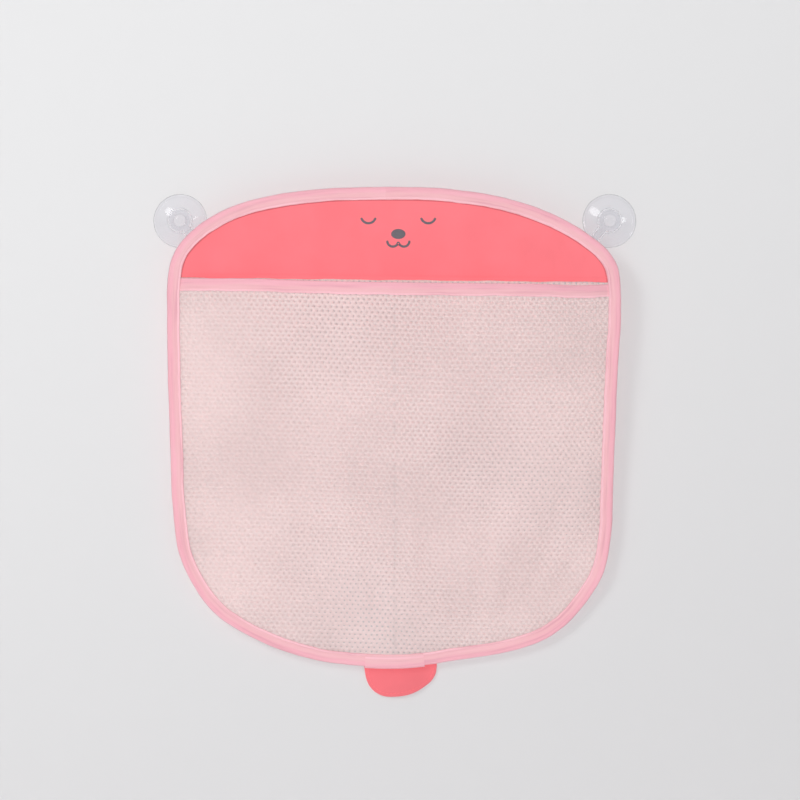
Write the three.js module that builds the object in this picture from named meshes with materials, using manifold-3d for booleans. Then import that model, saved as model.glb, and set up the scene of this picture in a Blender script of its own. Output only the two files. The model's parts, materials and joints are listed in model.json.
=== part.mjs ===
// Wall-hung net organizer for bath toys: a taped net pocket under a cloth head panel, hung by two
// sewn loops on the clear hooks of two suction cups.
// Millimetres, +X to the viewer's right, +Y into the wall, +Z up. The wall is the plane y = 0, and
// the origin lies on it midway between the two cups.

import * as THREE from "three";
import { mergeVertices } from "three/addons/utils/BufferGeometryUtils.js";
import { TessellateModifier } from "three/addons/modifiers/TessellateModifier.js";
import Module from "manifold-3d";

const wasm = await Module();
wasm.setup();

// The bag's overall size, over the outer edge of its binding
const BAG_WIDTH = 380;
const BAG_HEIGHT = 402;
const BAG_TOP = 28; // height of the bag's top above the cup centres

// Cloth, net and tape
const TAPE_WIDTH = 10;
const TAPE_THICKNESS = 0.7;
const PANEL_THICKNESS = 0.8;
const NET_THICKNESS = 0.8;
const TAIL_THICKNESS = 1.4;
const LAYER_GAP = 0.3; // air between sewn layers
const SEAM_GAP = 0.45; // air between the pocket front and the edge binding's inner edge

// Levels of the head panel's hem and the pocket's mouth, below the bag's top at the middle
const HEM_DROP = 77;
const HEM_FALL = 4; // how far the hem falls from its left end to its right end
const MOUTH_DROP = 78.6;
const MOUTH_FALL = 5;
const HEM_LAP = 6; // how far the back net reaches up behind the head panel
const POCKET_SLACK = 26; // how far the slack pocket front stands out at its mouth

// The net's gaps, drawn far coarser than the real net
const NET_PITCH = 33; // from gap to gap along a row
const NET_ROW = 26; // from row to row, each row set off by half a pitch
const NET_STRAND = 8;
const NET_FACET = 28; // longest facet of the bent net

// Suction cups
const CUP_INSET = 9.8; // of each cup's centre from the bag's widest place
const CUP_SPACING = BAG_WIDTH - 2 * CUP_INSET;
const CUP_RADIUS = 22.5;
const CUP_RIM_WIDTH = 3.5; // the flat ring that seals on the wall
const CUP_RIM_THICKNESS = 0.9;
const CUP_DOME_HEIGHT = 8.4;
const CUP_DOME_POWER = 1.6; // over 1, for a dome that is full near its rim
const CUP_CAVITY_DEPTH = 2.6;
const NECK_RADIUS = 3.5;
const KNOB_RADIUS = 5.2;
const KNOB_HEIGHT = 5;
const KNOB_FLARE_SHARE = 0.12; // of the knob's height, from the neck out to its full radius
const KNOB_WALL_SHARE = 0.3; // of the knob's height, to where its round end starts

// Hooks
const HOOK_THICKNESS = 2;
const HOOK_WIDTH = 8;
const HOOK_RING_RADIUS = 10.6;
const HOOK_LEAN = 50; // degrees below the horizontal, towards the bag
const HOOK_REACH = 26; // from the cup's centre to the middle of the hanging loop
const HOOK_THROAT = 6; // clear width that the loop lies in
const HOOK_TIP_THICKNESS = 1.6;
const HOOK_TIP_LENGTH = 10.5;
const HOOK_CORNER_RADIUS = 1.5;
const NECK_CLEARANCE = 0.5; // round the neck, and from the dome to the hook's ring
const KNOB_CLEARANCE = 1; // from the hook's ring to the knob

// Hanging loops
const LOOP_DIAMETER = 2.8; // of the tape gathered in the hook
const LOOP_SPREAD = 18; // between the loop's two legs
const LOOP_LENGTH = 16; // from the hook down to the sewn ends
const LOOP_SEWN_LENGTH = 6;
const LOOP_CLEARANCE = 0.6; // from the loop to the hook's bend

// How the bag stands off the wall
const BAG_CLEARANCE = 3.4; // from the hook's tip to the back of the bag

// Tail
const TAIL_WIDTH = 61;
const TAIL_LENGTH = 25;
const TAIL_OFFSET = 4.8; // of the tail's middle to the right of the bag's
const TAIL_GAP = 0.75; // from the edge binding to the tail, where it flexes

// Printed face on the head panel
const PRINT_THICKNESS = 0.15;
const PRINT_GAP = 0.05;
const PRINT_LINE = 1.9;
const PRINT_MIDDLE = 3; // right of the bag's middle
const EYE_SPACING = 50;
const EYE_RADIUS = 6.2;
const EYE_HALF_ANGLE = 66; // degrees of the eye's arc to each side of its lowest point
const EYE_DROP = 30; // below the bag's top, as the next two
const NOSE_DROP = 39;
const MOUTH_LINE_DROP = 49.5;
const NOSE_WIDTH = 12;
const NOSE_HEIGHT = 8.4;
const LIP_RADIUS = 4.6;
const LIP_HALF_ANGLE = 84; // degrees of each lip's arc to each side of its lowest point

// The outline, clockwise from the top as seen from the front. Each point is a share of half the
// bag's width, to the right of its middle, and a share of its height, down from its top.
const OUTLINE_SHARES = [
  [-0.04, 0], [0.24, 0.004], [0.46, 0.02], [0.635, 0.045], [0.755, 0.07], [0.845, 0.096],
  [0.93, 0.128], [0.98, 0.167], [0.995, 0.27], [0.98, 0.39], [0.965, 0.585], [0.95, 0.735],
  [0.915, 0.81], [0.81, 0.885], [0.69, 0.935], [0.525, 0.966], [0.29, 0.985], [0.03, 1],
  [-0.24, 0.994], [-0.45, 0.973], [-0.645, 0.935], [-0.8, 0.885], [-0.895, 0.823],
  [-0.95, 0.765], [-0.975, 0.68], [-0.99, 0.517], [-1, 0.306], [-0.998, 0.194],
  [-0.976, 0.144], [-0.932, 0.111], [-0.835, 0.07], [-0.69, 0.036], [-0.505, 0.015],
  [-0.29, 0.003],
];

// The tail's outline, clockwise from its top left. Shares of its width and of its length.
const TAIL_SHARES = [
  [0, 0], [1, 0], [0.985, 0.22], [0.93, 0.45], [0.83, 0.66], [0.71, 0.84], [0.58, 0.95],
  [0.42, 1], [0.28, 0.985], [0.17, 0.87], [0.08, 0.66], [0.03, 0.4],
];

// Counts of facets
const OUTLINE_STEPS = 96;
const CUP_STEPS = 32;
const DOME_STEPS = 6;
const MOUTH_STEPS = 24;
const LOOP_SIDES = 8;
const LOOP_STEPS = 36;
const RING_STEPS = 28;
const CORNER_STEPS = 4;
const ARC_STEPS = 10;
const FACET_SPLITS = 24;

// Layers at the seam, from the back of the bag to its front
const HOOK_BACK = -(CUP_DOME_HEIGHT + NECK_CLEARANCE);
const HOOK_FRONT = HOOK_BACK - HOOK_THICKNESS;
const THROAT_FRONT = HOOK_FRONT - HOOK_THROAT;
const TIP_FRONT = THROAT_FRONT - HOOK_TIP_THICKNESS;
const BAG_BACK = TIP_FRONT - BAG_CLEARANCE;
const BACK_NET_BACK = BAG_BACK - TAPE_THICKNESS - LAYER_GAP;
const BACK_NET_FRONT = BACK_NET_BACK - NET_THICKNESS;
const PANEL_BACK = BACK_NET_FRONT - LAYER_GAP;
const PANEL_FRONT = PANEL_BACK - PANEL_THICKNESS;
const BAG_FRONT = PANEL_FRONT - LAYER_GAP - TAPE_THICKNESS;
const MOUTH_TAPE_BACK = BACK_NET_FRONT - LAYER_GAP;
const POCKET_BACK = MOUTH_TAPE_BACK - TAPE_THICKNESS - LAYER_GAP;
const POCKET_FRONT = POCKET_BACK - NET_THICKNESS;
const MOUTH_TAPE_FRONT = POCKET_FRONT - LAYER_GAP - TAPE_THICKNESS;

// The bag hangs and swings about the line through both loops, and its bottom edge leans on the
// wall with the tail between
const HOOK_ANGLE = THREE.MathUtils.degToRad(HOOK_LEAN);
const HANG_Y = (HOOK_FRONT + THROAT_FRONT) / 2;
const HANG_Z = -HOOK_REACH * Math.sin(HOOK_ANGLE);
const BAG_BOTTOM = BAG_TOP - BAG_HEIGHT;
const BOTTOM_STANDOFF = TAIL_THICKNESS + 2 * LAYER_GAP;
const HANG_TILT = hangTilt();

// The angle at which the bag's bottom back edge comes to its place at the wall
function hangTilt() {
  const drop = HANG_Z - BAG_BOTTOM;
  const offset = BAG_BACK - HANG_Y;
  const reach = Math.hypot(drop, offset);
  return Math.asin((-BOTTOM_STANDOFF - HANG_Y) / reach) - Math.atan2(offset, drop);
}

// A point of the upright bag, brought to where it hangs
function hung(x, y, z) {
  const point = new THREE.Vector3(x, y - HANG_Y, z - HANG_Z);
  point.applyAxisAngle(new THREE.Vector3(1, 0, 0), HANG_TILT);
  return point.add(new THREE.Vector3(0, HANG_Y, HANG_Z));
}

// The outline as evenly spaced points, each with the direction that points into the bag
function outlineSamples() {
  const corners = OUTLINE_SHARES.map(([across, down]) => {
    return new THREE.Vector3((across * BAG_WIDTH) / 2, 0, BAG_TOP - down * BAG_HEIGHT);
  });
  const curve = new THREE.CatmullRomCurve3(corners, true, "centripetal");
  const points = curve.getSpacedPoints(OUTLINE_STEPS).slice(0, OUTLINE_STEPS);
  return points.map((point, i) => {
    const before = points.at(i - 1);
    const after = points[(i + 1) % OUTLINE_STEPS];
    const along = new THREE.Vector2(after.x - before.x, after.z - before.z).normalize();
    return { x: point.x, z: point.z, inward: new THREE.Vector2(along.y, -along.x) };
  });
}

const OUTLINE = outlineSamples();

function insetOutline(distance) {
  return OUTLINE.map(({ x, z, inward }) => {
    return new THREE.Vector2(x + inward.x * distance, z + inward.y * distance);
  });
}

const hemLevel = (x) => BAG_TOP - HEM_DROP - (HEM_FALL * x) / BAG_WIDTH;
const mouthLevel = (x) => BAG_TOP - MOUTH_DROP - (MOUTH_FALL * x) / BAG_WIDTH;

// The part of a closed outline where height(point) is not negative
function clipped(points, height) {
  const kept = [];
  points.forEach((point, i) => {
    const next = points[(i + 1) % points.length];
    const here = height(point);
    const there = height(next);
    if (here >= 0) kept.push(point.clone());
    if (here * there < 0) kept.push(point.clone().lerp(next, here / (here - there)));
  });
  return kept;
}

// The line along which the pocket's front meets the edge binding
const POCKET_SEAM = insetOutline(TAPE_WIDTH + SEAM_GAP);
const POCKET_BOTTOM = Math.min(...POCKET_SEAM.map((point) => point.y));

// Where a level line meets the pocket's seam, left and right
function seamSpan(level) {
  const crossings = [];
  POCKET_SEAM.forEach((point, i) => {
    const next = POCKET_SEAM[(i + 1) % POCKET_SEAM.length];
    if (point.y < level === next.y < level) return;
    crossings.push(point.x + ((next.x - point.x) * (level - point.y)) / (next.y - point.y));
  });
  return crossings.length ? [Math.min(...crossings), Math.max(...crossings)] : [0, 0];
}

// How far the slack front stands out of the seam's plane: nothing along the seam, most at the
// middle of the mouth
function pocketSlack(x, z) {
  const [left, right] = seamSpan(z);
  if (right <= left) return 0;
  const across = THREE.MathUtils.clamp((2 * x - left - right) / (right - left), -1, 1);
  const rise = (z - POCKET_BOTTOM) / (mouthLevel(x) - POCKET_BOTTOM);
  const up = Math.sin((Math.PI / 2) * THREE.MathUtils.clamp(rise, 0, 1));
  return POCKET_SLACK * (1 - across * across) * up;
}

// Only positions, with shared vertices merged and the triangles that this collapses left out
function bare(geometry) {
  const plain = geometry.clone();
  plain.deleteAttribute("normal");
  plain.deleteAttribute("uv");
  const merged = mergeVertices(plain);
  const index = [];
  for (let i = 0; i < merged.index.count; i += 3) {
    const [a, b, c] = merged.index.array.slice(i, i + 3);
    if (a !== b && b !== c && c !== a) index.push(a, b, c);
  }
  return merged.setIndex(index);
}

function signedVolume(geometry) {
  const position = geometry.getAttribute("position");
  const [a, b, c] = [new THREE.Vector3(), new THREE.Vector3(), new THREE.Vector3()];
  let sum = 0;
  for (let i = 0; i < geometry.index.count; i += 3) {
    a.fromBufferAttribute(position, geometry.index.getX(i));
    b.fromBufferAttribute(position, geometry.index.getX(i + 1));
    c.fromBufferAttribute(position, geometry.index.getX(i + 2));
    sum += a.dot(b.cross(c));
  }
  return sum / 6;
}

// The same closed surface with its faces pointing out
function facingOut(geometry) {
  const closed = bare(geometry);
  if (signedVolume(closed) < 0) closed.index.array.reverse();
  closed.computeVertexNormals();
  return closed;
}

function toManifold(geometry) {
  const closed = facingOut(geometry);
  const vertProperties = new Float32Array(closed.getAttribute("position").array);
  const triVerts = new Uint32Array(closed.index.array);
  return new wasm.Manifold(new wasm.Mesh({ numProp: 3, vertProperties, triVerts }));
}

function fromManifold(solid) {
  const { vertProperties, triVerts } = solid.getMesh();
  const geometry = new THREE.BufferGeometry();
  geometry.setAttribute("position", new THREE.BufferAttribute(vertProperties, 3));
  geometry.setIndex(new THREE.BufferAttribute(triVerts, 1));
  return facingOut(geometry);
}

// A flat plate whose outline lies in the XZ plane, from y = back towards the viewer. Its holes run
// clockwise.
function plate(points, thickness, back, holes = []) {
  const turned = THREE.ShapeUtils.isClockWise(points) ? points.toReversed() : points;
  const shape = new THREE.Shape(turned);
  shape.holes = holes.map((hole) => new THREE.Path(hole));
  const geometry = new THREE.ExtrudeGeometry(shape, { depth: thickness, bevelEnabled: false });
  geometry.rotateX(Math.PI / 2);
  geometry.translate(0, back, 0);
  return facingOut(geometry);
}

// The quads between rings of equally many points, with the first ring following the last where
// the band is closed, and flat ends where it isn't
function band(rings, closed) {
  const size = rings[0].length;
  const index = [];
  const last = closed ? rings.length : rings.length - 1;
  for (let i = 0; i < last; i += 1) {
    const here = i * size;
    const next = ((i + 1) % rings.length) * size;
    for (let j = 0; j < size; j += 1) {
      const k = (j + 1) % size;
      index.push(here + j, here + k, next + k, here + j, next + k, next + j);
    }
  }
  if (!closed) index.push(...endCaps(rings));
  const geometry = new THREE.BufferGeometry().setFromPoints(rings.flat());
  geometry.setIndex(index);
  return facingOut(geometry);
}

// Both ends of a band of U sections. The eight points of a U make three strips: two legs and
// the fold between them.
function endCaps(rings) {
  const strips = [[0, 1, 4], [0, 4, 5], [1, 2, 3], [1, 3, 4], [0, 5, 6], [0, 6, 7]];
  const far = (rings.length - 1) * rings[0].length;
  const start = strips.flatMap(([a, b, c]) => [c, b, a]);
  const end = strips.flatMap(([a, b, c]) => [far + a, far + b, far + c]);
  return [...start, ...end];
}

// The folded tape's section as [distance from its fold, y]
function foldedTape(back, front) {
  return [
    [0, back],
    [0, front],
    [TAPE_WIDTH, front],
    [TAPE_WIDTH, front + TAPE_THICKNESS],
    [TAPE_THICKNESS, front + TAPE_THICKNESS],
    [TAPE_THICKNESS, back - TAPE_THICKNESS],
    [TAPE_WIDTH, back - TAPE_THICKNESS],
    [TAPE_WIDTH, back],
  ];
}

function edgeBinding() {
  const section = foldedTape(BAG_BACK, BAG_FRONT);
  const rings = OUTLINE.map(({ x, z, inward }) => {
    return section.map(([inset, y]) => {
      return new THREE.Vector3(x + inward.x * inset, y, z + inward.y * inset);
    });
  });
  return band(rings, true);
}

function mouthBinding() {
  const section = foldedTape(MOUTH_TAPE_BACK, MOUTH_TAPE_FRONT);
  const [left, right] = seamSpan(mouthLevel(0) - TAPE_WIDTH / 2);
  const rings = Array.from({ length: MOUTH_STEPS + 1 }, (_, i) => {
    const x = THREE.MathUtils.lerp(left + SEAM_GAP, right - SEAM_GAP, i / MOUTH_STEPS);
    const top = mouthLevel(x);
    const slack = pocketSlack(x, top - TAPE_WIDTH / 2);
    return section.map(([drop, y]) => new THREE.Vector3(x, y - slack, top - drop));
  });
  return band(rings, false);
}

function insideOf(polygon, point) {
  let inside = false;
  polygon.forEach((a, i) => {
    const b = polygon.at(i - 1);
    if (a.y > point.y === b.y > point.y) return;
    if (point.x < a.x + ((b.x - a.x) * (point.y - a.y)) / (b.y - a.y)) inside = !inside;
  });
  return inside;
}

// Six-sided gaps in staggered rows, wherever a whole one fits inside the border
function netGaps(border, top) {
  const halfWidth = (NET_PITCH - NET_STRAND) / 2;
  const halfHeight = (NET_ROW * 2) / 3 - NET_STRAND / 2;
  const gaps = [];
  const rows = Math.ceil((top - BAG_BOTTOM) / NET_ROW);
  const columns = Math.ceil(BAG_WIDTH / NET_PITCH / 2);
  for (let row = 0; row < rows; row += 1) {
    const z = top - halfHeight - row * NET_ROW;
    for (let column = -columns; column <= columns; column += 1) {
      const x = (column + (row % 2) / 2) * NET_PITCH;
      const gap = [[0, 1], [1, 0.5], [1, -0.5], [0, -1], [-1, -0.5], [-1, 0.5]].map(
        ([across, up]) => new THREE.Vector2(x + across * halfWidth, z + up * halfHeight),
      );
      if (gap.every((point) => insideOf(border, point))) gaps.push(gap);
    }
  }
  return gaps;
}

function headPanel() {
  const border = insetOutline(TAPE_THICKNESS + LAYER_GAP);
  const points = clipped(border, (point) => point.y - hemLevel(point.x));
  return plate(points, PANEL_THICKNESS, PANEL_BACK);
}

function backNet() {
  const topLevel = (x) => hemLevel(x) + HEM_LAP;
  const border = insetOutline(TAPE_THICKNESS + LAYER_GAP);
  const points = clipped(border, (point) => topLevel(point.x) - point.y);
  const open = insetOutline(TAPE_WIDTH + NET_STRAND / 2);
  const holes = netGaps(open, hemLevel(BAG_WIDTH / 2) - NET_STRAND);
  return plate(points, NET_THICKNESS, BACK_NET_BACK, holes);
}

// The pocket front is cut flat and then stands out with its slack
function pocketFrontNet() {
  const topLevel = (x) => mouthLevel(x) - TAPE_THICKNESS - LAYER_GAP;
  const border = clipped(POCKET_SEAM, (point) => topLevel(point.x) - point.y);
  const points = withTopSteps(border, topLevel);
  const open = insetOutline(TAPE_WIDTH + SEAM_GAP + NET_STRAND / 2);
  const holes = netGaps(open, mouthLevel(BAG_WIDTH / 2) - TAPE_WIDTH - NET_STRAND / 2);
  const flat = plate(points, NET_THICKNESS, POCKET_BACK, holes);
  const geometry = new TessellateModifier(NET_FACET, FACET_SPLITS).modify(flat);
  const position = geometry.getAttribute("position");
  for (let i = 0; i < position.count; i += 1) {
    const slack = pocketSlack(position.getX(i), position.getZ(i));
    position.setY(i, position.getY(i) - slack);
  }
  return facingOut(geometry);
}

// Adds points along the top edge, so that it can bend with the slack
function withTopSteps(points, topLevel) {
  const onTop = (point) => point.y > topLevel(point.x) - LAYER_GAP;
  return points.flatMap((point, i) => {
    const next = points[(i + 1) % points.length];
    if (!onTop(point) || !onTop(next)) return [point];
    const between = Array.from({ length: MOUTH_STEPS - 1 }, (_, k) => {
      return point.clone().lerp(next, (k + 1) / MOUTH_STEPS);
    });
    return [point, ...between];
  });
}

// The cup's half section, from the roof of its hollow round the rim and the dome to the knob
function cupProfile() {
  const sealRadius = CUP_RADIUS - CUP_RIM_WIDTH;
  const knobStart = HOOK_FRONT - KNOB_CLEARANCE;
  const knobEnd = knobStart - KNOB_HEIGHT;
  const points = [];
  for (let i = 0; i <= DOME_STEPS; i += 1) {
    const share = i / DOME_STEPS;
    points.push([sealRadius * share, -CUP_CAVITY_DEPTH * Math.cos((Math.PI / 2) * share)]);
  }
  points.push([CUP_RADIUS, 0]);
  for (let i = 0; i <= DOME_STEPS; i += 1) {
    const share = i / DOME_STEPS;
    const radius = THREE.MathUtils.lerp(CUP_RADIUS, NECK_RADIUS, share);
    const rise = 1 - (1 - share) ** CUP_DOME_POWER;
    points.push([radius, -THREE.MathUtils.lerp(CUP_RIM_THICKNESS, CUP_DOME_HEIGHT, rise)]);
  }
  points.push([NECK_RADIUS, knobStart]);
  points.push([KNOB_RADIUS, knobStart - KNOB_HEIGHT * KNOB_FLARE_SHARE]);
  const wallEnd = knobStart - KNOB_HEIGHT * KNOB_WALL_SHARE;
  for (let i = 1; i <= CORNER_STEPS + 1; i += 1) {
    const angle = ((Math.PI / 2) * i) / (CORNER_STEPS + 1);
    const height = THREE.MathUtils.lerp(wallEnd, knobEnd, Math.sin(angle));
    points.push([KNOB_RADIUS * Math.cos(angle), height]);
  }
  points.at(-1)[0] = 0;
  return points.map(([radius, y]) => new THREE.Vector2(radius, y));
}

function suctionCup(side) {
  const geometry = new THREE.LatheGeometry(cupProfile(), CUP_STEPS);
  geometry.translate((side * CUP_SPACING) / 2, 0, 0);
  return facingOut(geometry);
}

// From a hook's own axes to the part's: reach runs from the cup's centre along the leaning arm,
// across runs over its width
function hookMatrix(side) {
  const reach = new THREE.Vector3(-side * Math.cos(HOOK_ANGLE), 0, -Math.sin(HOOK_ANGLE));
  const outward = new THREE.Vector3(0, 1, 0);
  const across = new THREE.Vector3().crossVectors(reach, outward);
  const matrix = new THREE.Matrix4().makeBasis(reach, outward, across);
  return matrix.setPosition((side * CUP_SPACING) / 2, 0, 0);
}

// The arm, the bend and the tip that points back to the cup, as [reach, y]
function hookProfile() {
  const inner = HOOK_REACH + LOOP_DIAMETER / 2 + LOOP_CLEARANCE;
  const outer = inner + HOOK_THICKNESS;
  const radius = HOOK_CORNER_RADIUS;
  const shape = new THREE.Shape();
  shape.moveTo((NECK_RADIUS + HOOK_RING_RADIUS) / 2, HOOK_FRONT);
  shape.lineTo(inner, HOOK_FRONT);
  shape.lineTo(inner, THROAT_FRONT);
  shape.lineTo(outer - HOOK_TIP_LENGTH, THROAT_FRONT);
  shape.lineTo(outer - HOOK_TIP_LENGTH, TIP_FRONT);
  shape.absarc(outer - radius, TIP_FRONT + radius, radius, -Math.PI / 2, 0, false);
  shape.absarc(outer - radius, HOOK_BACK - radius, radius, 0, Math.PI / 2, false);
  shape.lineTo((NECK_RADIUS + HOOK_RING_RADIUS) / 2, HOOK_BACK);
  return shape;
}

function disc(radius, thickness, back) {
  const geometry = new THREE.CylinderGeometry(radius, radius, thickness, RING_STEPS);
  geometry.translate(0, back - thickness / 2, 0);
  return toManifold(geometry);
}

function cupHook(side) {
  const options = { depth: HOOK_WIDTH, bevelEnabled: false, curveSegments: CORNER_STEPS };
  const arm = new THREE.ExtrudeGeometry(hookProfile(), options);
  arm.translate(0, 0, -HOOK_WIDTH / 2);
  const ring = disc(HOOK_RING_RADIUS, HOOK_THICKNESS, HOOK_BACK);
  const holeBack = HOOK_BACK + HOOK_THICKNESS;
  const hole = disc(NECK_RADIUS + NECK_CLEARANCE, 2 * (holeBack - HOOK_FRONT), holeBack);
  const hook = ring.add(toManifold(arm)).subtract(hole);
  const geometry = fromManifold(hook);
  geometry.applyMatrix4(hookMatrix(side));
  return facingOut(geometry);
}

// The loop from one sewn end over the hook to the other, in the hook's own axes
function loopRoute() {
  const half = LOOP_SPREAD / 2;
  const sewnY = PANEL_BACK + LAYER_GAP + LOOP_DIAMETER / 2;
  const sewnStart = HOOK_REACH + LOOP_LENGTH - LOOP_SEWN_LENGTH;
  const leg = [
    [HOOK_REACH + LOOP_LENGTH, half, sewnY],
    [sewnStart, half, sewnY],
    [THREE.MathUtils.lerp(HOOK_REACH, sewnStart, 0.5), half, (HANG_Y + sewnY) / 2],
    [HOOK_REACH + LOOP_DIAMETER / 4, half - LOOP_DIAMETER / 4, HANG_Y - LOOP_DIAMETER / 8],
    [HOOK_REACH, half - LOOP_DIAMETER, HANG_Y],
  ];
  const back = leg.toReversed().map(([reach, across, y]) => [reach, -across, y]);
  return [...leg, ...back].map(([reach, across, y]) => new THREE.Vector3(reach, y, across));
}

function hangingLoop(side) {
  const section = new THREE.Shape();
  section.absarc(0, 0, LOOP_DIAMETER / 2, 0, 2 * Math.PI, false);
  const path = new THREE.CatmullRomCurve3(loopRoute(), false, "centripetal");
  const geometry = new THREE.ExtrudeGeometry(section, {
    steps: LOOP_STEPS,
    extrudePath: path,
    curveSegments: LOOP_SIDES / 2,
  });
  geometry.applyMatrix4(hookMatrix(side));
  return facingOut(geometry);
}

function tailTop() {
  return hung(0, BAG_BACK, BAG_BOTTOM).z - TAIL_GAP;
}

// The tail hangs plumb between the bag's bottom edge and the wall
function tail() {
  const left = TAIL_OFFSET - TAIL_WIDTH / 2;
  const points = TAIL_SHARES.map(([across, down]) => {
    return new THREE.Vector2(left + across * TAIL_WIDTH, tailTop() - down * TAIL_LENGTH);
  });
  return plate(points, TAIL_THICKNESS, -LAYER_GAP);
}

// A line of ink with round ends, along points given from left to right
function inkLine(points) {
  const half = PRINT_LINE / 2;
  const edge = (point, i, side) => {
    const before = points[Math.max(i - 1, 0)];
    const after = points[Math.min(i + 1, points.length - 1)];
    const along = after.clone().sub(before).normalize();
    return new THREE.Vector2(point.x - along.y * half * side, point.y + along.x * half * side);
  };
  const cap = (centre, from) => Array.from({ length: CORNER_STEPS }, (_, i) => {
    const angle = from - (Math.PI * (i + 0.5)) / CORNER_STEPS;
    return new THREE.Vector2(Math.cos(angle), Math.sin(angle)).multiplyScalar(half).add(centre);
  });
  const heading = (a, b) => Math.atan2(b.y - a.y, b.x - a.x);
  const upper = points.map((point, i) => edge(point, i, 1));
  const lower = points.map((point, i) => edge(point, i, -1)).reverse();
  const right = cap(points.at(-1), heading(points.at(-2), points.at(-1)) + Math.PI / 2);
  const left = cap(points[0], heading(points[0], points[1]) - Math.PI / 2);
  return [...upper, ...right, ...lower, ...left];
}

// Points of an arc that hangs down below its centre, from left to right
function hangingArc(x, z, radius, degrees) {
  const halfAngle = THREE.MathUtils.degToRad(degrees);
  return Array.from({ length: ARC_STEPS + 1 }, (_, i) => {
    const angle = THREE.MathUtils.lerp(-halfAngle, halfAngle, i / ARC_STEPS);
    return new THREE.Vector2(x + radius * Math.sin(angle), z - radius * Math.cos(angle));
  });
}

function printed(points) {
  return plate(points, PRINT_THICKNESS, PANEL_FRONT - PRINT_GAP);
}

// A closed eye
function printedEye(side) {
  const x = PRINT_MIDDLE + (side * EYE_SPACING) / 2;
  const z = BAG_TOP - EYE_DROP + EYE_RADIUS;
  return printed(inkLine(hangingArc(x, z, EYE_RADIUS, EYE_HALF_ANGLE)));
}

function printedNose() {
  const centre = new THREE.Vector2(PRINT_MIDDLE, BAG_TOP - NOSE_DROP);
  const points = Array.from({ length: 2 * ARC_STEPS }, (_, i) => {
    const angle = (Math.PI * i) / ARC_STEPS;
    const reach = new THREE.Vector2(Math.cos(angle) * NOSE_WIDTH, Math.sin(angle) * NOSE_HEIGHT);
    return reach.multiplyScalar(0.5).add(centre);
  });
  return printed(points);
}

// Two small arcs that meet under the nose
function printedMouth() {
  const z = BAG_TOP - MOUTH_LINE_DROP + LIP_RADIUS;
  const [left, right] = [-1, 1].map((side) => {
    const x = PRINT_MIDDLE + side * LIP_RADIUS;
    return toManifold(printed(inkLine(hangingArc(x, z, LIP_RADIUS, LIP_HALF_ANGLE))));
  });
  return fromManifold(left.add(right));
}

function piece(name, geometry, color, roughness, options = {}) {
  const material = new THREE.MeshStandardMaterial({ color, roughness, metalness: 0, ...options });
  const mesh = new THREE.Mesh(geometry, material);
  mesh.name = name;
  return mesh;
}

const CORAL = 0xfd7f89;
const PALE_PINK = 0xf5bac7;
const NET_PINK = 0xf3d3d3;
const INK_GREY = 0x6a656b;
const CLEAR = 0xf1f3f6;
const clearPlastic = { transparent: true, opacity: 0.45 };

// Everything sewn to the bag is made upright, then leans as one about the line it hangs on
function bag() {
  const upright = new THREE.Group();
  upright.position.set(0, -HANG_Y, -HANG_Z);
  upright.add(piece("head_panel", headPanel(), CORAL, 0.6));
  upright.add(piece("back_net", backNet(), NET_PINK, 0.85));
  upright.add(piece("pocket_front_net", pocketFrontNet(), NET_PINK, 0.85));
  upright.add(piece("edge_binding", edgeBinding(), PALE_PINK, 0.8));
  upright.add(piece("mouth_binding", mouthBinding(), PALE_PINK, 0.8));
  upright.add(piece("left_hanging_loop", hangingLoop(-1), PALE_PINK, 0.8));
  upright.add(piece("right_hanging_loop", hangingLoop(1), PALE_PINK, 0.8));
  upright.add(piece("print_left_eye", printedEye(-1), INK_GREY, 0.7));
  upright.add(piece("print_right_eye", printedEye(1), INK_GREY, 0.7));
  upright.add(piece("print_nose", printedNose(), INK_GREY, 0.7));
  upright.add(piece("print_mouth", printedMouth(), INK_GREY, 0.7));
  const hanging = new THREE.Group();
  hanging.position.set(0, HANG_Y, HANG_Z);
  hanging.rotation.x = HANG_TILT;
  hanging.add(upright);
  return hanging;
}

const organizer = new THREE.Group();
organizer.add(piece("left_suction_cup", suctionCup(-1), CLEAR, 0.12, clearPlastic));
organizer.add(piece("right_suction_cup", suctionCup(1), CLEAR, 0.12, clearPlastic));
organizer.add(piece("left_cup_hook", cupHook(-1), CLEAR, 0.15, clearPlastic));
organizer.add(piece("right_cup_hook", cupHook(1), CLEAR, 0.15, clearPlastic));
organizer.add(bag());
organizer.add(piece("tail", tail(), CORAL, 0.6));

export default organizer;
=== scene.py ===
"""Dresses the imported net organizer: clear cups and hooks, coral cloth, knitted net and folded tape.

Metres, +X to the viewer's right, +Y into the wall, +Z up. The wall is the plane y = 0, and the
origin lies on it midway between the two cups.
"""

import json
import math
from contextlib import contextmanager

import bmesh
import bpy
import numpy as np
from bpy.props import FloatProperty, FloatVectorProperty, PointerProperty
from mathutils import Matrix, Vector
from mathutils.geometry import tessellate_polygon


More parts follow.
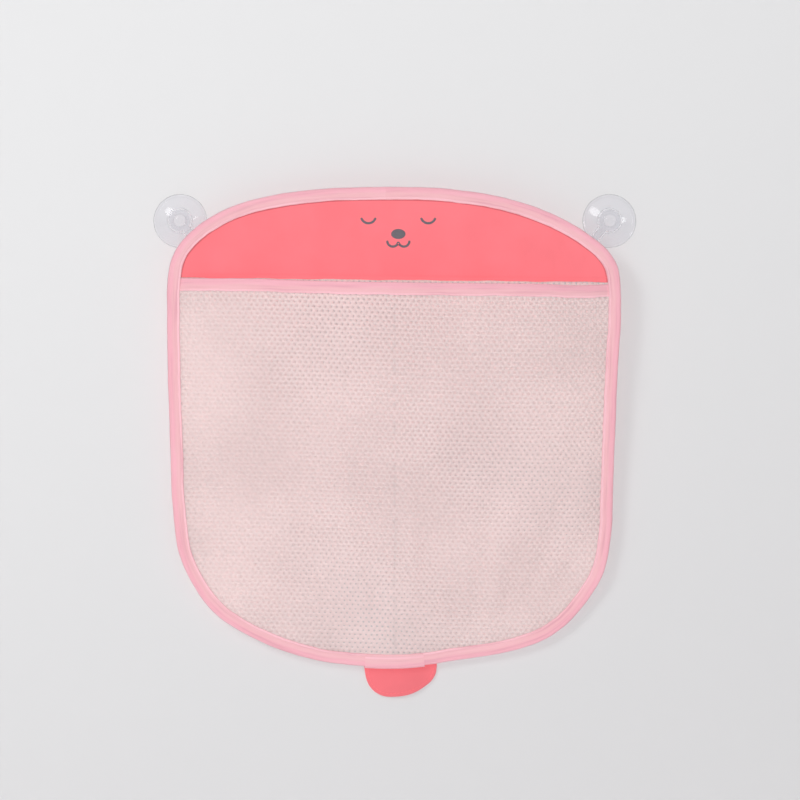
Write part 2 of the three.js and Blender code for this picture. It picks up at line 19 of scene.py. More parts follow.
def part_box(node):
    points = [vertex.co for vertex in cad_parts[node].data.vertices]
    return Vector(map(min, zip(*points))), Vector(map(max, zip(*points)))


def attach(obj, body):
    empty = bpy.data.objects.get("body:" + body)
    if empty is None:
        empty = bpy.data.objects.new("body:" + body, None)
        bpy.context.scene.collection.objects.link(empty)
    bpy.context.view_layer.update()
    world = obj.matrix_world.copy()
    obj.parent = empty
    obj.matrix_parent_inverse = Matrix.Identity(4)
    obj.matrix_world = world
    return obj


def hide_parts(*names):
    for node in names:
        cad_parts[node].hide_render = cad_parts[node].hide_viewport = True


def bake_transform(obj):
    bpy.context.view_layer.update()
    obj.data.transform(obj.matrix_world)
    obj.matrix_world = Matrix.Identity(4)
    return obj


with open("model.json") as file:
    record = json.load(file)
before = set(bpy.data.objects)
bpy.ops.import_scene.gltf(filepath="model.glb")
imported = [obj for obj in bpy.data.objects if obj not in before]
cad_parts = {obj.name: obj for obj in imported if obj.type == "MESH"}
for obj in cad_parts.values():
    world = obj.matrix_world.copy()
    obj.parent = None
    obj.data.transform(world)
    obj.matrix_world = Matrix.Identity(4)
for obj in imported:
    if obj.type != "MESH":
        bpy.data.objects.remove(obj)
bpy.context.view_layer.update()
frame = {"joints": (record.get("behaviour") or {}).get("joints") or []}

bl_info = {
    "name": "Bath Toy Organizer",
    "version": (1, 0, 0),
    "blender": (4, 5, 0),
    "location": "3D View > Sidebar > Organizer",
    "description": "Cloth, net, tape and clear plastic for a wall-hung net organizer",
    "category": "Object",
}

MM = 0.001
JOINT_PLACES = {joint["name"]: Vector(joint["pos_m"]) for joint in frame["joints"]}

# The outline, clockwise from the top as seen from the front: a share of half the bag's width to
# the right of its middle, and a share of its height down from its top
OUTLINE_SHARES = [
    (-0.04, 0), (0.24, 0.004), (0.46, 0.02), (0.635, 0.045), (0.755, 0.07), (0.845, 0.096),
    (0.93, 0.128), (0.98, 0.167), (0.995, 0.27), (0.98, 0.39), (0.965, 0.585), (0.95, 0.735),
    (0.915, 0.81), (0.81, 0.885), (0.69, 0.935), (0.525, 0.966), (0.29, 0.985), (0.03, 1),
    (-0.24, 0.994), (-0.45, 0.973), (-0.645, 0.935), (-0.8, 0.885), (-0.895, 0.823),
    (-0.95, 0.765), (-0.975, 0.68), (-0.99, 0.517), (-1, 0.306), (-0.998, 0.194),
    (-0.976, 0.144), (-0.932, 0.111), (-0.835, 0.07), (-0.69, 0.036), (-0.505, 0.015),
    (-0.29, 0.003),
]

# The tail's outline, clockwise from its top left, in shares of its width and of its length
TAIL_SHARES = [
    (0, 0), (1, 0), (0.985, 0.22), (0.93, 0.45), (0.83, 0.66), (0.71, 0.84), (0.58, 0.95),
    (0.42, 1), (0.28, 0.985), (0.17, 0.87), (0.08, 0.66), (0.03, 0.4),
]

# Layers at the seam, from the wall side to the front, before the bag leans
HOOK_BACK = -8.9 * MM
BAG_BACK = -21.9 * MM
BACK_NET_Y = -23.3 * MM
TAPE_Y = -23.85 * MM
HEM_FOLD_Y = -24.05 * MM
PANEL_Y = -24.55 * MM
FRONT_NET_SEAM_Y = -24.45 * MM
FRONT_NET_LIFT = 0.95 * MM  # from under the edge tape to its own plane
TAPE_HALF_GAP = 1.6 * MM
TAIL_BACK = -0.3 * MM
STITCH_LIFT = 0.02 * MM  # of a seam's line above its cloth

WEAVE = 0.62 * MM  # from thread to thread of the coral cloth
MOUTH_END = 178 * MM  # where the mouth's ends are sewn in, each side of the middle

# The flat chart that the nets' webs are knitted on: its width and its middle in (x, z)
CHART_SPAN = 0.46
CHART_MIDDLE = (0.0, -0.175)
WEB_SIZE = (0.41, 0.4)


def measure(name, description, value):
    return FloatProperty(
        name=name, description=description, default=value, min=0, precision=5, unit="LENGTH"
    )


def paint(name, description, value):
    return FloatVectorProperty(
        name=name, description=description, default=value, min=0, max=1, size=3, subtype="COLOR"
    )


class OrganizerSizes(bpy.types.PropertyGroup):
    """Sizes of the organizer's pieces."""

    bag_width: measure("Bag Width", "Over the edge tape", 380 * MM)
    bag_height: measure("Bag Height", "Over the edge tape", 402 * MM)
    bag_top: measure("Bag Top", "Above the cups' centres", 28 * MM)
    hem_drop: measure("Hem Drop", "From the bag's top to the head panel's hem", 77 * MM)
    hem_fall: measure("Hem Fall", "From the hem's left end to its right end", 4 * MM)
    mouth_drop: measure("Mouth Drop", "From the bag's top to the pocket's mouth", 78.6 * MM)
    mouth_fall: measure("Mouth Fall", "From the mouth's left end to its right end", 5 * MM)
    pocket_slack: measure("Pocket Slack", "How far the mouth stands out", 26 * MM)
    tape_width: measure("Tape Width", "Of the folded tape", 10 * MM)
    tape_thickness: measure("Tape Thickness", "Of one layer", 0.6 * MM)
    cloth_thickness: measure("Cloth Thickness", "Of the coral cloth", 0.4 * MM)
    net_thickness: measure("Net Thickness", "Of the knitted net", 0.45 * MM)
    net_pitch: measure("Net Pitch", "From hole to hole along a row", 4.65 * MM)
    net_row: measure("Net Row", "From row to row", 3.57 * MM)
    net_strand: measure("Net Strand", "Width of the strands between the holes", 2.9 * MM)
    stitch_pitch: measure("Stitch Pitch", "From stitch to stitch", 3.1 * MM)
    stitch_length: measure("Stitch Length", "That shows of each stitch", 2.5 * MM)
    thread: measure("Thread", "The sewing thread's diameter", 0.42 * MM)
    cup_inset: measure("Cup Inset", "Of each cup's centre from the bag's side", 9.8 * MM)
    cup_radius: measure("Cup Radius", "Of each suction cup", 22.5 * MM)
    neck_radius: measure("Neck Radius", "Of the cup's neck", 3.5 * MM)
    knob_radius: measure("Knob Radius", "Of the cup's knob", 5.2 * MM)
    ring_radius: measure("Ring Radius", "Of the hook's ring", 10.6 * MM)
    hook_width: measure("Hook Width", "Of the hook's arm", 8 * MM)
    hook_thickness: measure("Hook Thickness", "Of the hook's plate", 2 * MM)
    hook_reach: measure("Hook Reach", "From the cup's centre to the loop", 26 * MM)
    loop_width: measure("Loop Width", "Of the hanging loops' tape", 10 * MM)
    tail_width: measure("Tail Width", "Across the tail's top", 61 * MM)
    tail_length: measure("Tail Length", "That shows below the bag", 25 * MM)
    tail_offset: measure("Tail Offset", "To the right of the bag's middle", 4.8 * MM)
    hook_lean: FloatProperty(
        name="Hook Lean",
        description="Of the hooks below the horizontal",
        default=math.radians(50),
        subtype="ANGLE",
    )


class OrganizerColours(bpy.types.PropertyGroup):
    """Colours of the organizer's finishes, linear."""

    coral: paint("Coral", "Head panel and tail", (0.985, 0.205, 0.235))
    tape: paint("Tape", "Along the tape's fold", (0.885, 0.43, 0.51))
    tape_light: paint("Light Tape", "Along the tape's selvedges", (0.87, 0.485, 0.52))
    net: paint("Net", "The knitted net", (0.99, 0.88, 0.873))
    ink: paint("Ink", "The printed face", (0.135, 0.125, 0.142))
    wall: paint("Wall", "Wall and floor", (0.79, 0.79, 0.795))


def sizes():
    return bpy.context.scene.organizer_sizes


def colours():
    return bpy.context.scene.organizer_colours


# Node graphs


class Value:
    """A node socket that holds a number, so that maths on it is written as an expression."""

    def __init__(self, graph, socket):
        self.graph = graph
        self.socket = socket

    def math(self, operation, *others):
        values = dict(enumerate([self, *others]))
        node = self.graph.add("ShaderNodeMath", {"operation": operation}, values)
        return Value(self.graph, node.outputs[0])

    def flipped(self, operation, other):
        values = {0: other, 1: self}
        node = self.graph.add("ShaderNodeMath", {"operation": operation}, values)
        return Value(self.graph, node.outputs[0])

    def __add__(self, other):
        return self.math("ADD", other)

    __radd__ = __add__

    def __sub__(self, other):
        return self.math("SUBTRACT", other)

    def __rsub__(self, other):
        return self.flipped("SUBTRACT", other)

    def __mul__(self, other):
        return self.math("MULTIPLY", other)

    __rmul__ = __mul__

    def __truediv__(self, other):
        return self.math("DIVIDE", other)

    def __rtruediv__(self, other):
        return self.flipped("DIVIDE", other)

    def sine(self):
        return self.math("SINE")

    def size(self):
        return self.math("ABSOLUTE")

    def step(self, low, high):
        """Rises smoothly from 0 at low to 1 at high."""
        settings = {"interpolation_type": "SMOOTHSTEP"}
        node = self.graph.add("ShaderNodeMapRange", settings, {0: self, 1: low, 2: high})
        return Value(self.graph, node.outputs[0])


class Graph:
    """A node tree, with each node wired as it is added."""

    def __init__(self, tree):
        self.tree = tree

    def join(self, value, socket):
        if isinstance(value, Value):
            value = value.socket
        if isinstance(value, bpy.types.NodeSocket):
            self.tree.links.new(value, socket)
        else:
            socket.default_value = value

    def add(self, kind, settings=None, values=None):
        """A node of that kind. Its settings come first, then its sockets' values or links."""
        node = self.tree.nodes.new(kind)
        for name, setting in (settings or {}).items():
            setattr(node, name, setting)
        for key, value in (values or {}).items():
            self.join(value, node.inputs[key])
        return node

    def number(self, kind, settings=None, values=None, output=0):
        return Value(self, self.add(kind, settings, values).outputs[output])

    def mixed(self, share, first, second):
        """A colour between two others."""
        node = self.add("ShaderNodeMix", {"data_type": "RGBA"}, {0: share, 6: first, 7: second})
        return node.outputs[2]

    def blended_shaders(self, share, first, second):
        """A shader between two others."""
        shaders = {0: share, 1: first.outputs[0], 2: second.outputs[0]}
        return self.add("ShaderNodeMixShader", None, shaders)

    def xyz(self, vector):
        node = self.add("ShaderNodeSeparateXYZ", None, {0: vector})
        return [Value(self, output) for output in node.outputs]

    def noise(self, vector, scale, detail=2, roughness=0.5):
        values = {"Vector": vector, "Scale": scale, "Detail": detail, "Roughness": roughness}
        return self.number("ShaderNodeTexNoise", None, values)


def rgba(colour, factor=1.0):
    return (*(min(1.0, channel * factor) for channel in colour), 1)


def new_finish(name):
    """A material with an empty tree: the graph and its principled shader."""
    material = bpy.data.materials.new(name)
    material.use_nodes = True
    material.node_tree.nodes.clear()
    graph = Graph(material.node_tree)
    shader = graph.add("ShaderNodeBsdfPrincipled")
    graph.add("ShaderNodeOutputMaterial", None, {"Surface": shader.outputs[0]})
    return material, graph, shader


def show_mixed(graph, share, first, second):
    """Shows a mix of two shaders on the surface."""
    mix = graph.blended_shaders(share, first, second)
    output = next(node for node in graph.tree.nodes if node.type == "OUTPUT_MATERIAL")
    graph.join(mix.outputs[0], output.inputs["Surface"])


def roughen(graph, shader, height, strength, depth):
    values = {"Height": height, "Strength": strength, "Distance": depth}
    graph.join(graph.add("ShaderNodeBump", None, values).outputs[0], shader.inputs["Normal"])


def place_of(graph):
    return graph.add("ShaderNodeTexCoord").outputs["Object"]


def seen_directly(graph):
    """Whether it is a camera ray, and whether it is a camera, glossy or transmission ray."""
    path = graph.add("ShaderNodeLightPath").outputs
    camera = seen = Value(graph, path["Is Camera Ray"])
    for other in ("Is Glossy Ray", "Is Transmission Ray"):
        seen = seen.math("MAXIMUM", path[other])
    return camera, seen


def kept(build):
    """Makes something once, and gives the same one after that."""
    made = []

    def given():
        if not made:
            made.append(build())
        return made[0]

    return given


def waves(value, pitch):
    """A sine that repeats at every pitch."""
    return (value * (2 * math.pi / pitch)).sine()


def plain_weave(graph, place):
    x, _, z = graph.xyz(place)
    return waves(x, WEAVE) * waves(z, WEAVE)


def woven_cloth(name, factor):
    """Coated plain weave: fine threads both ways, soft mottling, a groove with painted shade by the
    seam.
    """
    material, graph, shader = new_finish(name)
    place = place_of(graph)
    weave = plain_weave(graph, place)
    slub = graph.noise(place, 900, 3)
    cloud = graph.noise(place, 26, 3)
    # The attribute is 1 + inside / 10 mm, and reads 0 on pieces without the seam's groove
    seam = graph.number("ShaderNodeAttribute", {"attribute_name": "seam"}, output="Fac")
    # Painted shade: a darker coral line where the tape's edge shades the cloth, also bumped in as a
    # groove
    crease_and_shade_line = 1 - ((seam - 1) * 10 * MM - 0.35 * MM).size().step(0.35 * MM, 1.3 * MM)
    base = [channel * factor for channel in colours().coral]
    colour = graph.mixed(cloud.step(0.3, 0.7), rgba(base, 0.955), rgba(base, 1.04))
    woven = graph.mixed(weave * 0.09 + slub * 0.2, colour, rgba(base, 0.9))
    shade = graph.mixed(crease_and_shade_line * 0.9, woven, rgba(base, 0.66))
    graph.join(shade, shader.inputs["Base Color"])
    graph.join(0.5 + cloud * 0.16, shader.inputs["Roughness"])
    shader.inputs["Sheen Weight"].default_value = 0.12
    shader.inputs["Specular IOR Level"].default_value = 0.32
    roughen(graph, shader, weave * 0.5 + slub * 0.6 - crease_and_shade_line * 3, 0.35, 0.12 * MM)
    return material


@kept
def coral_cloth():
    return woven_cloth("coral_cloth", 1.0)


# The tail's coral, painted darker as shade, since it hangs under the tape's edge
@kept
def coral_reverse():
    return woven_cloth("coral_reverse", 0.88)


@kept
def binding_tape():
    """Woven tape: ribs across it, deeper pink along its fold and paler by its selvedges, with painted
    highlights and shade.
    """
    material, graph, shader = new_finish("binding_tape")
    chart = graph.add("ShaderNodeUVMap", {"uv_map": "UVMap"}).outputs[0]
    along, across, _ = graph.xyz(chart)
    place = place_of(graph)
    rib, weft = waves(along, 0.85 * MM), waves(across, 0.5 * MM)
    fuzz = graph.noise(place, 1300, 3)
    patches = graph.noise(place, 70, 3)
    base, light = colours().tape, colours().tape_light
    # Noise stretched along the tape makes long creased bands: bumps, with painted shade in them and
    # painted light between them
    long = graph.add("ShaderNodeCombineXYZ", None, {0: along * 16, 1: across * 380}).outputs[0]
    crease_relief_and_shade = graph.noise(long, 1, 3)
    sway = (patches - 0.5) * 3 * MM
    pale = (across + sway).step(3.6 * MM, 6.6 * MM) * 0.75 + patches * 0.3
    colour = graph.mixed(pale + rib * 0.08 + fuzz * 0.15, rgba(base), rgba(light))
    # Painted highlight: a brighter pink along the selvedge and between the creased bands
    edge = (across - 9.9 * MM).size().step(1.3 * MM, 0.2 * MM)
    bright = graph.mixed(edge * 0.5 + (0.5 - crease_relief_and_shade) * 1.2, colour, (1, 0.6, 0.68, 1))
    # Painted shade in the creased bands
    shade = graph.mixed(crease_relief_and_shade.step(0.5, 0.72) * 0.8, bright, rgba(base, 0.86))
    graph.join(shade, shader.inputs["Base Color"])
    graph.join(0.66 + fuzz * 0.2, shader.inputs["Roughness"])
    shader.inputs["Sheen Weight"].default_value = 0.5
    shader.inputs["Specular IOR Level"].default_value = 0.3
    roughen(graph, shader, rib * 0.5 + weft * 0.25 + fuzz * 0.5 + crease_relief_and_shade * 4, 0.5, 0.12 * MM)
    return material


@kept
def knitted_net():
    """Fine matt filament with a little fuzz, which the light shines through, and painted shade of its
    folds.
    """
    material, graph, shader = new_finish("knitted_net")
    place = place_of(graph)
    _, _, z = graph.xyz(place)
    filament = graph.noise(place, 1700, 3)
    course = waves(z, 0.9 * MM)
    # Painted light and shade: broad soft clouds that stand in for the slack net's folds
    fold_shading = graph.noise(place, 11, 2).step(0.34, 0.66)
    base = colours().net
    colour = graph.mixed(filament * 0.4 + fold_shading * 0.6, rgba(base, 0.95), rgba(base, 1.03))
    graph.join(colour, shader.inputs["Base Color"])
    graph.join(0.7 + filament * 0.2, shader.inputs["Roughness"])
    shader.inputs["Sheen Weight"].default_value = 0.15
    shader.inputs["Specular IOR Level"].default_value = 0.25
    roughen(graph, shader, filament + course * 0.3, 0.5, 0.15 * MM)
    glow = graph.add("ShaderNodeBsdfTranslucent", None, {"Color": colour})
    show_mixed(graph, 0.45, shader, glow)
    return material


@kept
def sewing_thread():
    """Twisted pale pink thread."""
    material, graph, shader = new_finish("sewing_thread")
    place = place_of(graph)
    x, _, z = graph.xyz(place)
    twist = waves(x + z, 0.45 * MM)
    fuzz = graph.noise(place, 2100, 2)
    light = colours().tape_light
    colour = graph.mixed(twist * 0.3 + fuzz * 0.4, rgba(light, 0.86), rgba(light, 1.02))
    graph.join(colour, shader.inputs["Base Color"])
    graph.join(0.5 + fuzz * 0.25, shader.inputs["Roughness"])
    shader.inputs["Sheen Weight"].default_value = 0.2
    roughen(graph, shader, twist * 0.6 + fuzz, 0.4, 0.1 * MM)
    return material


@kept
def screen_ink():
    """Flat dark ink that the weave shows through."""
    material, graph, shader = new_finish("screen_ink")
    place = place_of(graph)
    weave = plain_weave(graph, place)
    worn = graph.noise(place, 420, 4, 0.6)
    base = colours().ink
    graph.join(graph.mixed(worn, rgba(base, 0.82), rgba(base, 1.3)), shader.inputs["Base Color"])
    graph.join(0.55 + worn * 0.2, shader.inputs["Roughness"])
    roughen(graph, shader, weave * 0.5 + worn * 0.3, 0.3, 0.1 * MM)
    return material


def clear_plastic(name, colour, roughness, ripple, painted_edges_of, glint_frost=0.0):
    """Clear plastic that lets the lamps' light through, with painted grey shade and a painted frosted
    highlight on its edges.
    """
    material, graph, shader = new_finish(name)
    path = graph.add("ShaderNodeLightPath").outputs
    lamps = Value(graph, path["Is Shadow Ray"]).math("MAXIMUM", path["Is Diffuse Ray"])
    clear = graph.add("ShaderNodeBsdfTransparent", None, {"Color": (0.975, 0.975, 0.985, 1)})
    place = place_of(graph)
    edge = painted_edges_of(graph, place)
    shown = shader
    if glint_frost:
        # Painted highlight: a matt white on the edges, for the glints of their refraction
        matt = graph.add("ShaderNodeBsdfDiffuse", None, {"Color": (0.97, 0.97, 0.985, 1)})
        shown = graph.blended_shaders(edge * glint_frost, shader, matt)
    show_mixed(graph, lamps, shown, clear)
    swirl = graph.noise(place, 55, 2)
    haze = graph.noise(place, 240, 3)
    pale = graph.mixed(swirl, rgba(colour, 0.985), rgba(colour))
    # Painted shade: greyer along the edges
    shaded_tint = graph.mixed(edge, pale, rgba(colour, 0.72))
    graph.join(shaded_tint, shader.inputs["Base Color"])
    graph.join(roughness + haze * 0.05, shader.inputs["Roughness"])
    shader.inputs["Transmission Weight"].default_value = 1.0
    shader.inputs["IOR"].default_value = 1.46
    roughen(graph, shader, swirl, 0.5, ripple)
    return material


def from_cup(graph, place):
    """How far a point lies across, up and away from the nearer cup's centre."""
    size = sizes()
    x, _, z = graph.xyz(place)
    across = x.size() - (size.bag_width / 2 - size.cup_inset)
    return across, z, (across * across + z * z).math("SQRT")


@kept
def clear_soft_vinyl():
    def lip(graph, place):
        """Painted grey shade lines: the cup's rim, and the steps of its dome at their radii in
        millimetres.
        """
        rim = sizes().cup_radius
        radius = from_cup(graph, place)[2]
        share = radius.step(rim - 0.9 * MM, rim - 0.4 * MM)
        for ring, strength in ((20.2, 0.3), (10.6, 0.25), (5.4, 0.5)):
            share = share + (radius - ring * MM).size().step(0.55 * MM, 0.1 * MM) * strength
        return share

    return clear_plastic("clear_soft_vinyl", (0.985, 0.985, 0.998), 0.03, 0.08 * MM, lip)


@kept
def clear_hard_plastic():
    def edge_shade_and_glint(graph, place):
        """Painted shade and highlight on the plate's outer millimetre: round the ring and along both
        sides of the arm.
        """
        across, up, radius = from_cup(graph, place)
        way = hook_reach_way(1)
        along = across * way[0] + up * way[1]
        off = (across * way[1] - up * way[0]).size()
        ring, side = sizes().ring_radius, sizes().hook_width / 2
        rim = radius.step(ring - 1.9 * MM, ring - 0.7 * MM) * along.step(8.5 * MM, 6.5 * MM)
        arm = off.step(side - 1.7 * MM, side - 0.6 * MM) * along.step(7 * MM, 9 * MM)
        return rim.math("MAXIMUM", arm)

    return clear_plastic(
        "clear_hard_plastic", (0.985, 0.988, 0.995), 0.02, 0.05 * MM, edge_shade_and_glint, 0.3
    )


# Meshes


def linked(name, mesh):
    piece = bpy.data.objects.new(name, mesh)
    bpy.context.scene.collection.objects.link(piece)
    return piece


def discard(piece):
    mesh = piece.data
    bpy.data.objects.remove(piece)
    if not mesh.users:
        bpy.data.meshes.remove(mesh)


def new_piece(name, points, faces, finish, chart=None):
    """An object from points and faces. The chart is a UV for each face corner."""
    mesh = bpy.data.meshes.new(name)
    mesh.from_pydata(np.asarray(points, float).tolist(), [], faces)
    if chart is not None:
        layer = mesh.uv_layers.new(name="UVMap")
        layer.data.foreach_set("uv", np.asarray(chart, np.float32).ravel())
    mesh.materials.append(finish)
    mesh.shade_smooth()
    mesh.update()
    return linked(name, mesh)


def repainted(piece, finish):
    piece.data.materials.clear()
    piece.data.materials.append(finish)
    return piece


def settled(piece):
    """The piece with its modifiers applied, as a plain mesh of its own."""
    bpy.context.view_layer.update()
    graph = bpy.context.evaluated_depsgraph_get()
    mesh = bpy.data.meshes.new_from_object(
        piece.evaluated_get(graph), preserve_all_data_layers=True, depsgraph=graph
    )
    name = piece.name
    discard(piece)
    mesh.name = name
    return linked(name, mesh)


@contextmanager
def editing(mesh):
    """The mesh opened for editing, and written back at the end."""
    work = bmesh.new()
    work.from_mesh(mesh)
    yield work
    work.to_mesh(mesh)
    work.free()
    mesh.update()


def turned_out(piece):
    """Its faces pointing out, after its doubles are merged."""
    with editing(piece.data) as work:
        bmesh.ops.remove_doubles(work, verts=work.verts, dist=0.002 * MM)
        bmesh.ops.recalc_face_normals(work, faces=work.faces)
    return piece


def sliced(work, place, way, **settings):
    """Cuts the whole mesh along a plane."""
    everything = work.verts[:] + work.edges[:] + work.faces[:]
    bmesh.ops.bisect_plane(work, geom=everything, plane_co=place, plane_no=way, **settings)


def thickened(piece, thickness):
    """The sheet made a solid, half of its thickness to each side."""
    modifier = piece.modifiers.new("Thickness", "SOLIDIFY")
    modifier.thickness = thickness
    modifier.offset = 0
    modifier.use_even_offset = False
    return settled(piece)


def grid_faces(rows, columns):
    """Quads of a grid whose points run along its rows, as an array of corner indices."""
    row, column = np.mgrid[0 : rows - 1, 0 : columns - 1]
    first = (row * columns + column).ravel()
    return np.column_stack([first, first + 1, first + columns + 1, first + columns])


def sheet_piece(name, grid, chart, finish):
    """A sheet from a grid of points (rows, columns, 3) and its chart (rows, columns, 2)."""
    rows, columns, _ = grid.shape
    quads = grid_faces(rows, columns)
    corners = chart.reshape(-1, 2)[quads.ravel()]
    return new_piece(name, grid.reshape(-1, 3), quads.tolist(), finish, corners)


def swept(name, rings, finish, closed=False, along=None, around=None):
    """A solid from rings of equally many points, with flat ends where it isn't closed.

    The chart's steps along the rings and around each are measured where they aren't given. For
    closed rings those along them are always given, with a last one back at the first ring."""
    count, size, _ = rings.shape
    spans = count if closed else count - 1
    i, j = np.mgrid[0:spans, 0:size]
    i, j = i.ravel(), j.ravel()
    after, beside = (i + 1) % count, (j + 1) % size
    quads = np.column_stack(
        [i * size + j, i * size + beside, after * size + beside, after * size + j]
    )
    if along is None:
        steps = np.linalg.norm(np.diff(rings[:, 0], axis=0), axis=1)
        along = np.concatenate([[0], np.cumsum(steps)])
    if around is None:
        middle = rings[count // 2]
        steps = np.linalg.norm(np.roll(middle, -1, 0) - middle, axis=1)
        around = np.concatenate([[0], np.cumsum(steps)])
    u = np.column_stack([along[i], along[i], along[i + 1], along[i + 1]])
    v = np.column_stack([around[j], around[j + 1], around[j + 1], around[j]])
    chart = np.stack([u, v], axis=2).reshape(-1, 2)
    faces = quads.tolist()
    if not closed:
        for start, ring in ((0, rings[0]), ((count - 1) * size, rings[-1])):
            triangles = tessellate_polygon([[Vector(point) for point in ring]])
            faces += [[start + k for k in triangle] for triangle in triangles]
            chart = np.concatenate([chart, np.zeros((3 * len(triangles), 2))])
    piece = turned_out(new_piece(name, rings.reshape(-1, 3), faces, finish, chart))
    if not closed:
        crisp(piece)
    return piece


def crisp(piece):
    """Sharp shading over the piece's edges that turn by more than 62 degrees."""
    with editing(piece.data) as work:
        for edge in work.edges:
            if len(edge.link_faces) == 2 and edge.calc_face_angle(0) > math.radians(62):
                edge.smooth = False


def smooth_step(value):
    value = np.clip(value, 0, 1)
    return value * value * (3 - 2 * value)


def catmull_rom(points, spans, closed=True):
    """Points along a centripetal Catmull-Rom curve through the given ones."""
    points = np.asarray(points, float)
    if not closed:
        first, last = 2 * points[0] - points[1], 2 * points[-1] - points[-2]
        points = np.vstack([first, points, last])
    count = len(points)
    found = []
    for i in range(count if closed else count - 3):
        p0, p1, p2, p3 = (points[(i + k - (1 if closed else 0)) % count] for k in range(4))
        d0, d1, d2 = (
            max(np.linalg.norm(b - a), 1e-9) ** 0.5 for a, b in ((p0, p1), (p1, p2), (p2, p3))
        )
        m1 = ((p1 - p0) / d0 - (p2 - p0) / (d0 + d1) + (p2 - p1) / d1) * d1
        m2 = ((p2 - p1) / d1 - (p3 - p1) / (d1 + d2) + (p3 - p2) / d2) * d1
        t = np.linspace(0, 1, spans, endpoint=False)[:, None]
        bend = (3 * (p2 - p1) - 2 * m1 - m2) * t**2 + (2 * (p1 - p2) + m1 + m2) * t**3
        found.append(p1 + m1 * t + bend)
    if not closed:
        found.append(points[-2][None])
    return np.concatenate(found)


def evenly(points, count, closed=False):
    """Evenly spaced points along a polyline, and its length."""
    path = np.vstack([points, points[:1]]) if closed else np.asarray(points)
    arc = np.concatenate([[0], np.cumsum(np.linalg.norm(np.diff(path, axis=0), axis=1))])
    wanted = np.linspace(0, arc[-1], count, endpoint=not closed)
    spaced = np.column_stack([np.interp(wanted, arc, path[:, k]) for k in range(path.shape[1])])
    return spaced, arc[-1]


# The bag's own form


class Outline:
    """The bag's outer edge as even points, clockwise from the top, with the way into the bag."""

    def __init__(self, count):
        size = sizes()
        shares = np.array(OUTLINE_SHARES)
        across = shares[:, 0] * size.bag_width / 2
        corners = np.column_stack([across, size.bag_top - shares[:, 1] * size.bag_height])
        self.points, _ = evenly(catmull_rom(corners, 60), count, closed=True)
        along = np.roll(self.points, -1, 0) - np.roll(self.points, 1, 0)
        along /= np.linalg.norm(along, axis=1)[:, None]
        self.inward = np.column_stack([along[:, 1], -along[:, 0]])

    def inset(self, distance):
        return self.points + self.inward * distance

    def depth(self, x, z):
        """How far points lie inside the outline, negative outside it."""
        flat = np.column_stack([np.ravel(x), np.ravel(z)])
        found = np.empty(len(flat))
        batch = 2000
        for start in range(0, len(flat), batch):
            part = flat[start : start + batch]
            offset = part[:, None] - self.points[None]
            nearest = (offset**2).sum(2).argmin(1)
            picked = offset[np.arange(len(part)), nearest]
            found[start : start + batch] = (picked * self.inward[nearest]).sum(1)
        return found.reshape(np.shape(x))

    def sides(self, distance, z):
        """Where levels meet the line inset by a distance: left and right x."""
        line = self.inset(distance)
        top, bottom = line[:, 1].argmax(), line[:, 1].argmin()
        order = [(top + k) % len(line) for k in range(len(line))]
        fall = order.index(bottom)
        right, left = line[order[: fall + 1]][::-1], line[order[fall:]]
        return np.interp(z, left[:, 1], left[:, 0]), np.interp(z, right[:, 1], right[:, 0])


@kept
def outline():
    return Outline(1500)


def hem_level(x):
    size = sizes()
    return size.bag_top - size.hem_drop - size.hem_fall * x / size.bag_width


def mouth_level(x):
    """The pocket's mouth, which rises a little at the left and dips near its right end."""
    size = sizes()
    dip = 1.3 * MM * np.exp(-(((x - 152 * MM) / (24 * MM)) ** 2))
    rise = 1.1 * MM * np.exp(-(((x + 120 * MM) / (42 * MM)) ** 2))
    return size.bag_top - size.mouth_drop - size.mouth_fall * x / size.bag_width - dip + rise


def hook_reach_way(side):
    """From a cup's centre along its hook's arm."""
    lean = sizes().hook_lean
    return np.array([-side * math.cos(lean), -math.sin(lean)])


def cup_centre(side):
    size = sizes()
    return np.array([side * (size.bag_width / 2 - size.cup_inset), 0])


def drape(x, z):
    """How far the hanging bag stands forward of its plane: slow waves, none at the loops."""
    wave = (
        0.5
        + 0.26 * np.sin(21 * x + 9 * z + 0.6)
        + 0.16 * np.sin(-37 * x + 16 * z + 2.1)
        + 0.08 * np.sin(58 * x + 31 * z)
    )
    calm = 1.0
    for side in (-1, 1):
        sewn = cup_centre(side) + hook_reach_way(side) * 39 * MM
        away = ((x - sewn[0]) ** 2 + (z - sewn[1]) ** 2) / (26 * MM) ** 2
        calm = calm * (1 - np.exp(-away))
    return 1.5 * MM * wave * calm


def pocket_slack(x, z):
    """As in the solid: nothing along the seam, most at the middle of the mouth."""
    size = sizes()
    seam = size.tape_width + 0.45 * MM
    bottom = outline().inset(seam)[:, 1].min()
    left, right = outline().sides(seam, z)
    across = np.clip((2 * x - left - right) / np.maximum(right - left, 1e-6), -1, 1)
    rise = np.clip((z - bottom) / (mouth_level(x) - bottom), 0, 1)
    return size.pocket_slack * (1 - across**2) * np.sin(math.pi / 2 * rise)


def pocket_folds(x, z):
    """Soft folds of the slack net, which run down towards the bottom corners."""
    spread = 0.5 + 0.9 * (z + 370 * MM) / (320 * MM)
    fan = x / np.maximum(spread, 0.3)
    low = np.exp(-(((z + 290 * MM) / (95 * MM)) ** 2))
    ridge = np.sin(fan * 105 + 0.8) + 0.5 * np.sin(fan * 190 + z * 30)
    cross = np.sin(z * 62 + x * 12 + 0.4) * np.exp(-(((x + 20 * MM) / (140 * MM)) ** 2))
    return 0.8 * MM * low * ridge + 0.7 * MM * cross


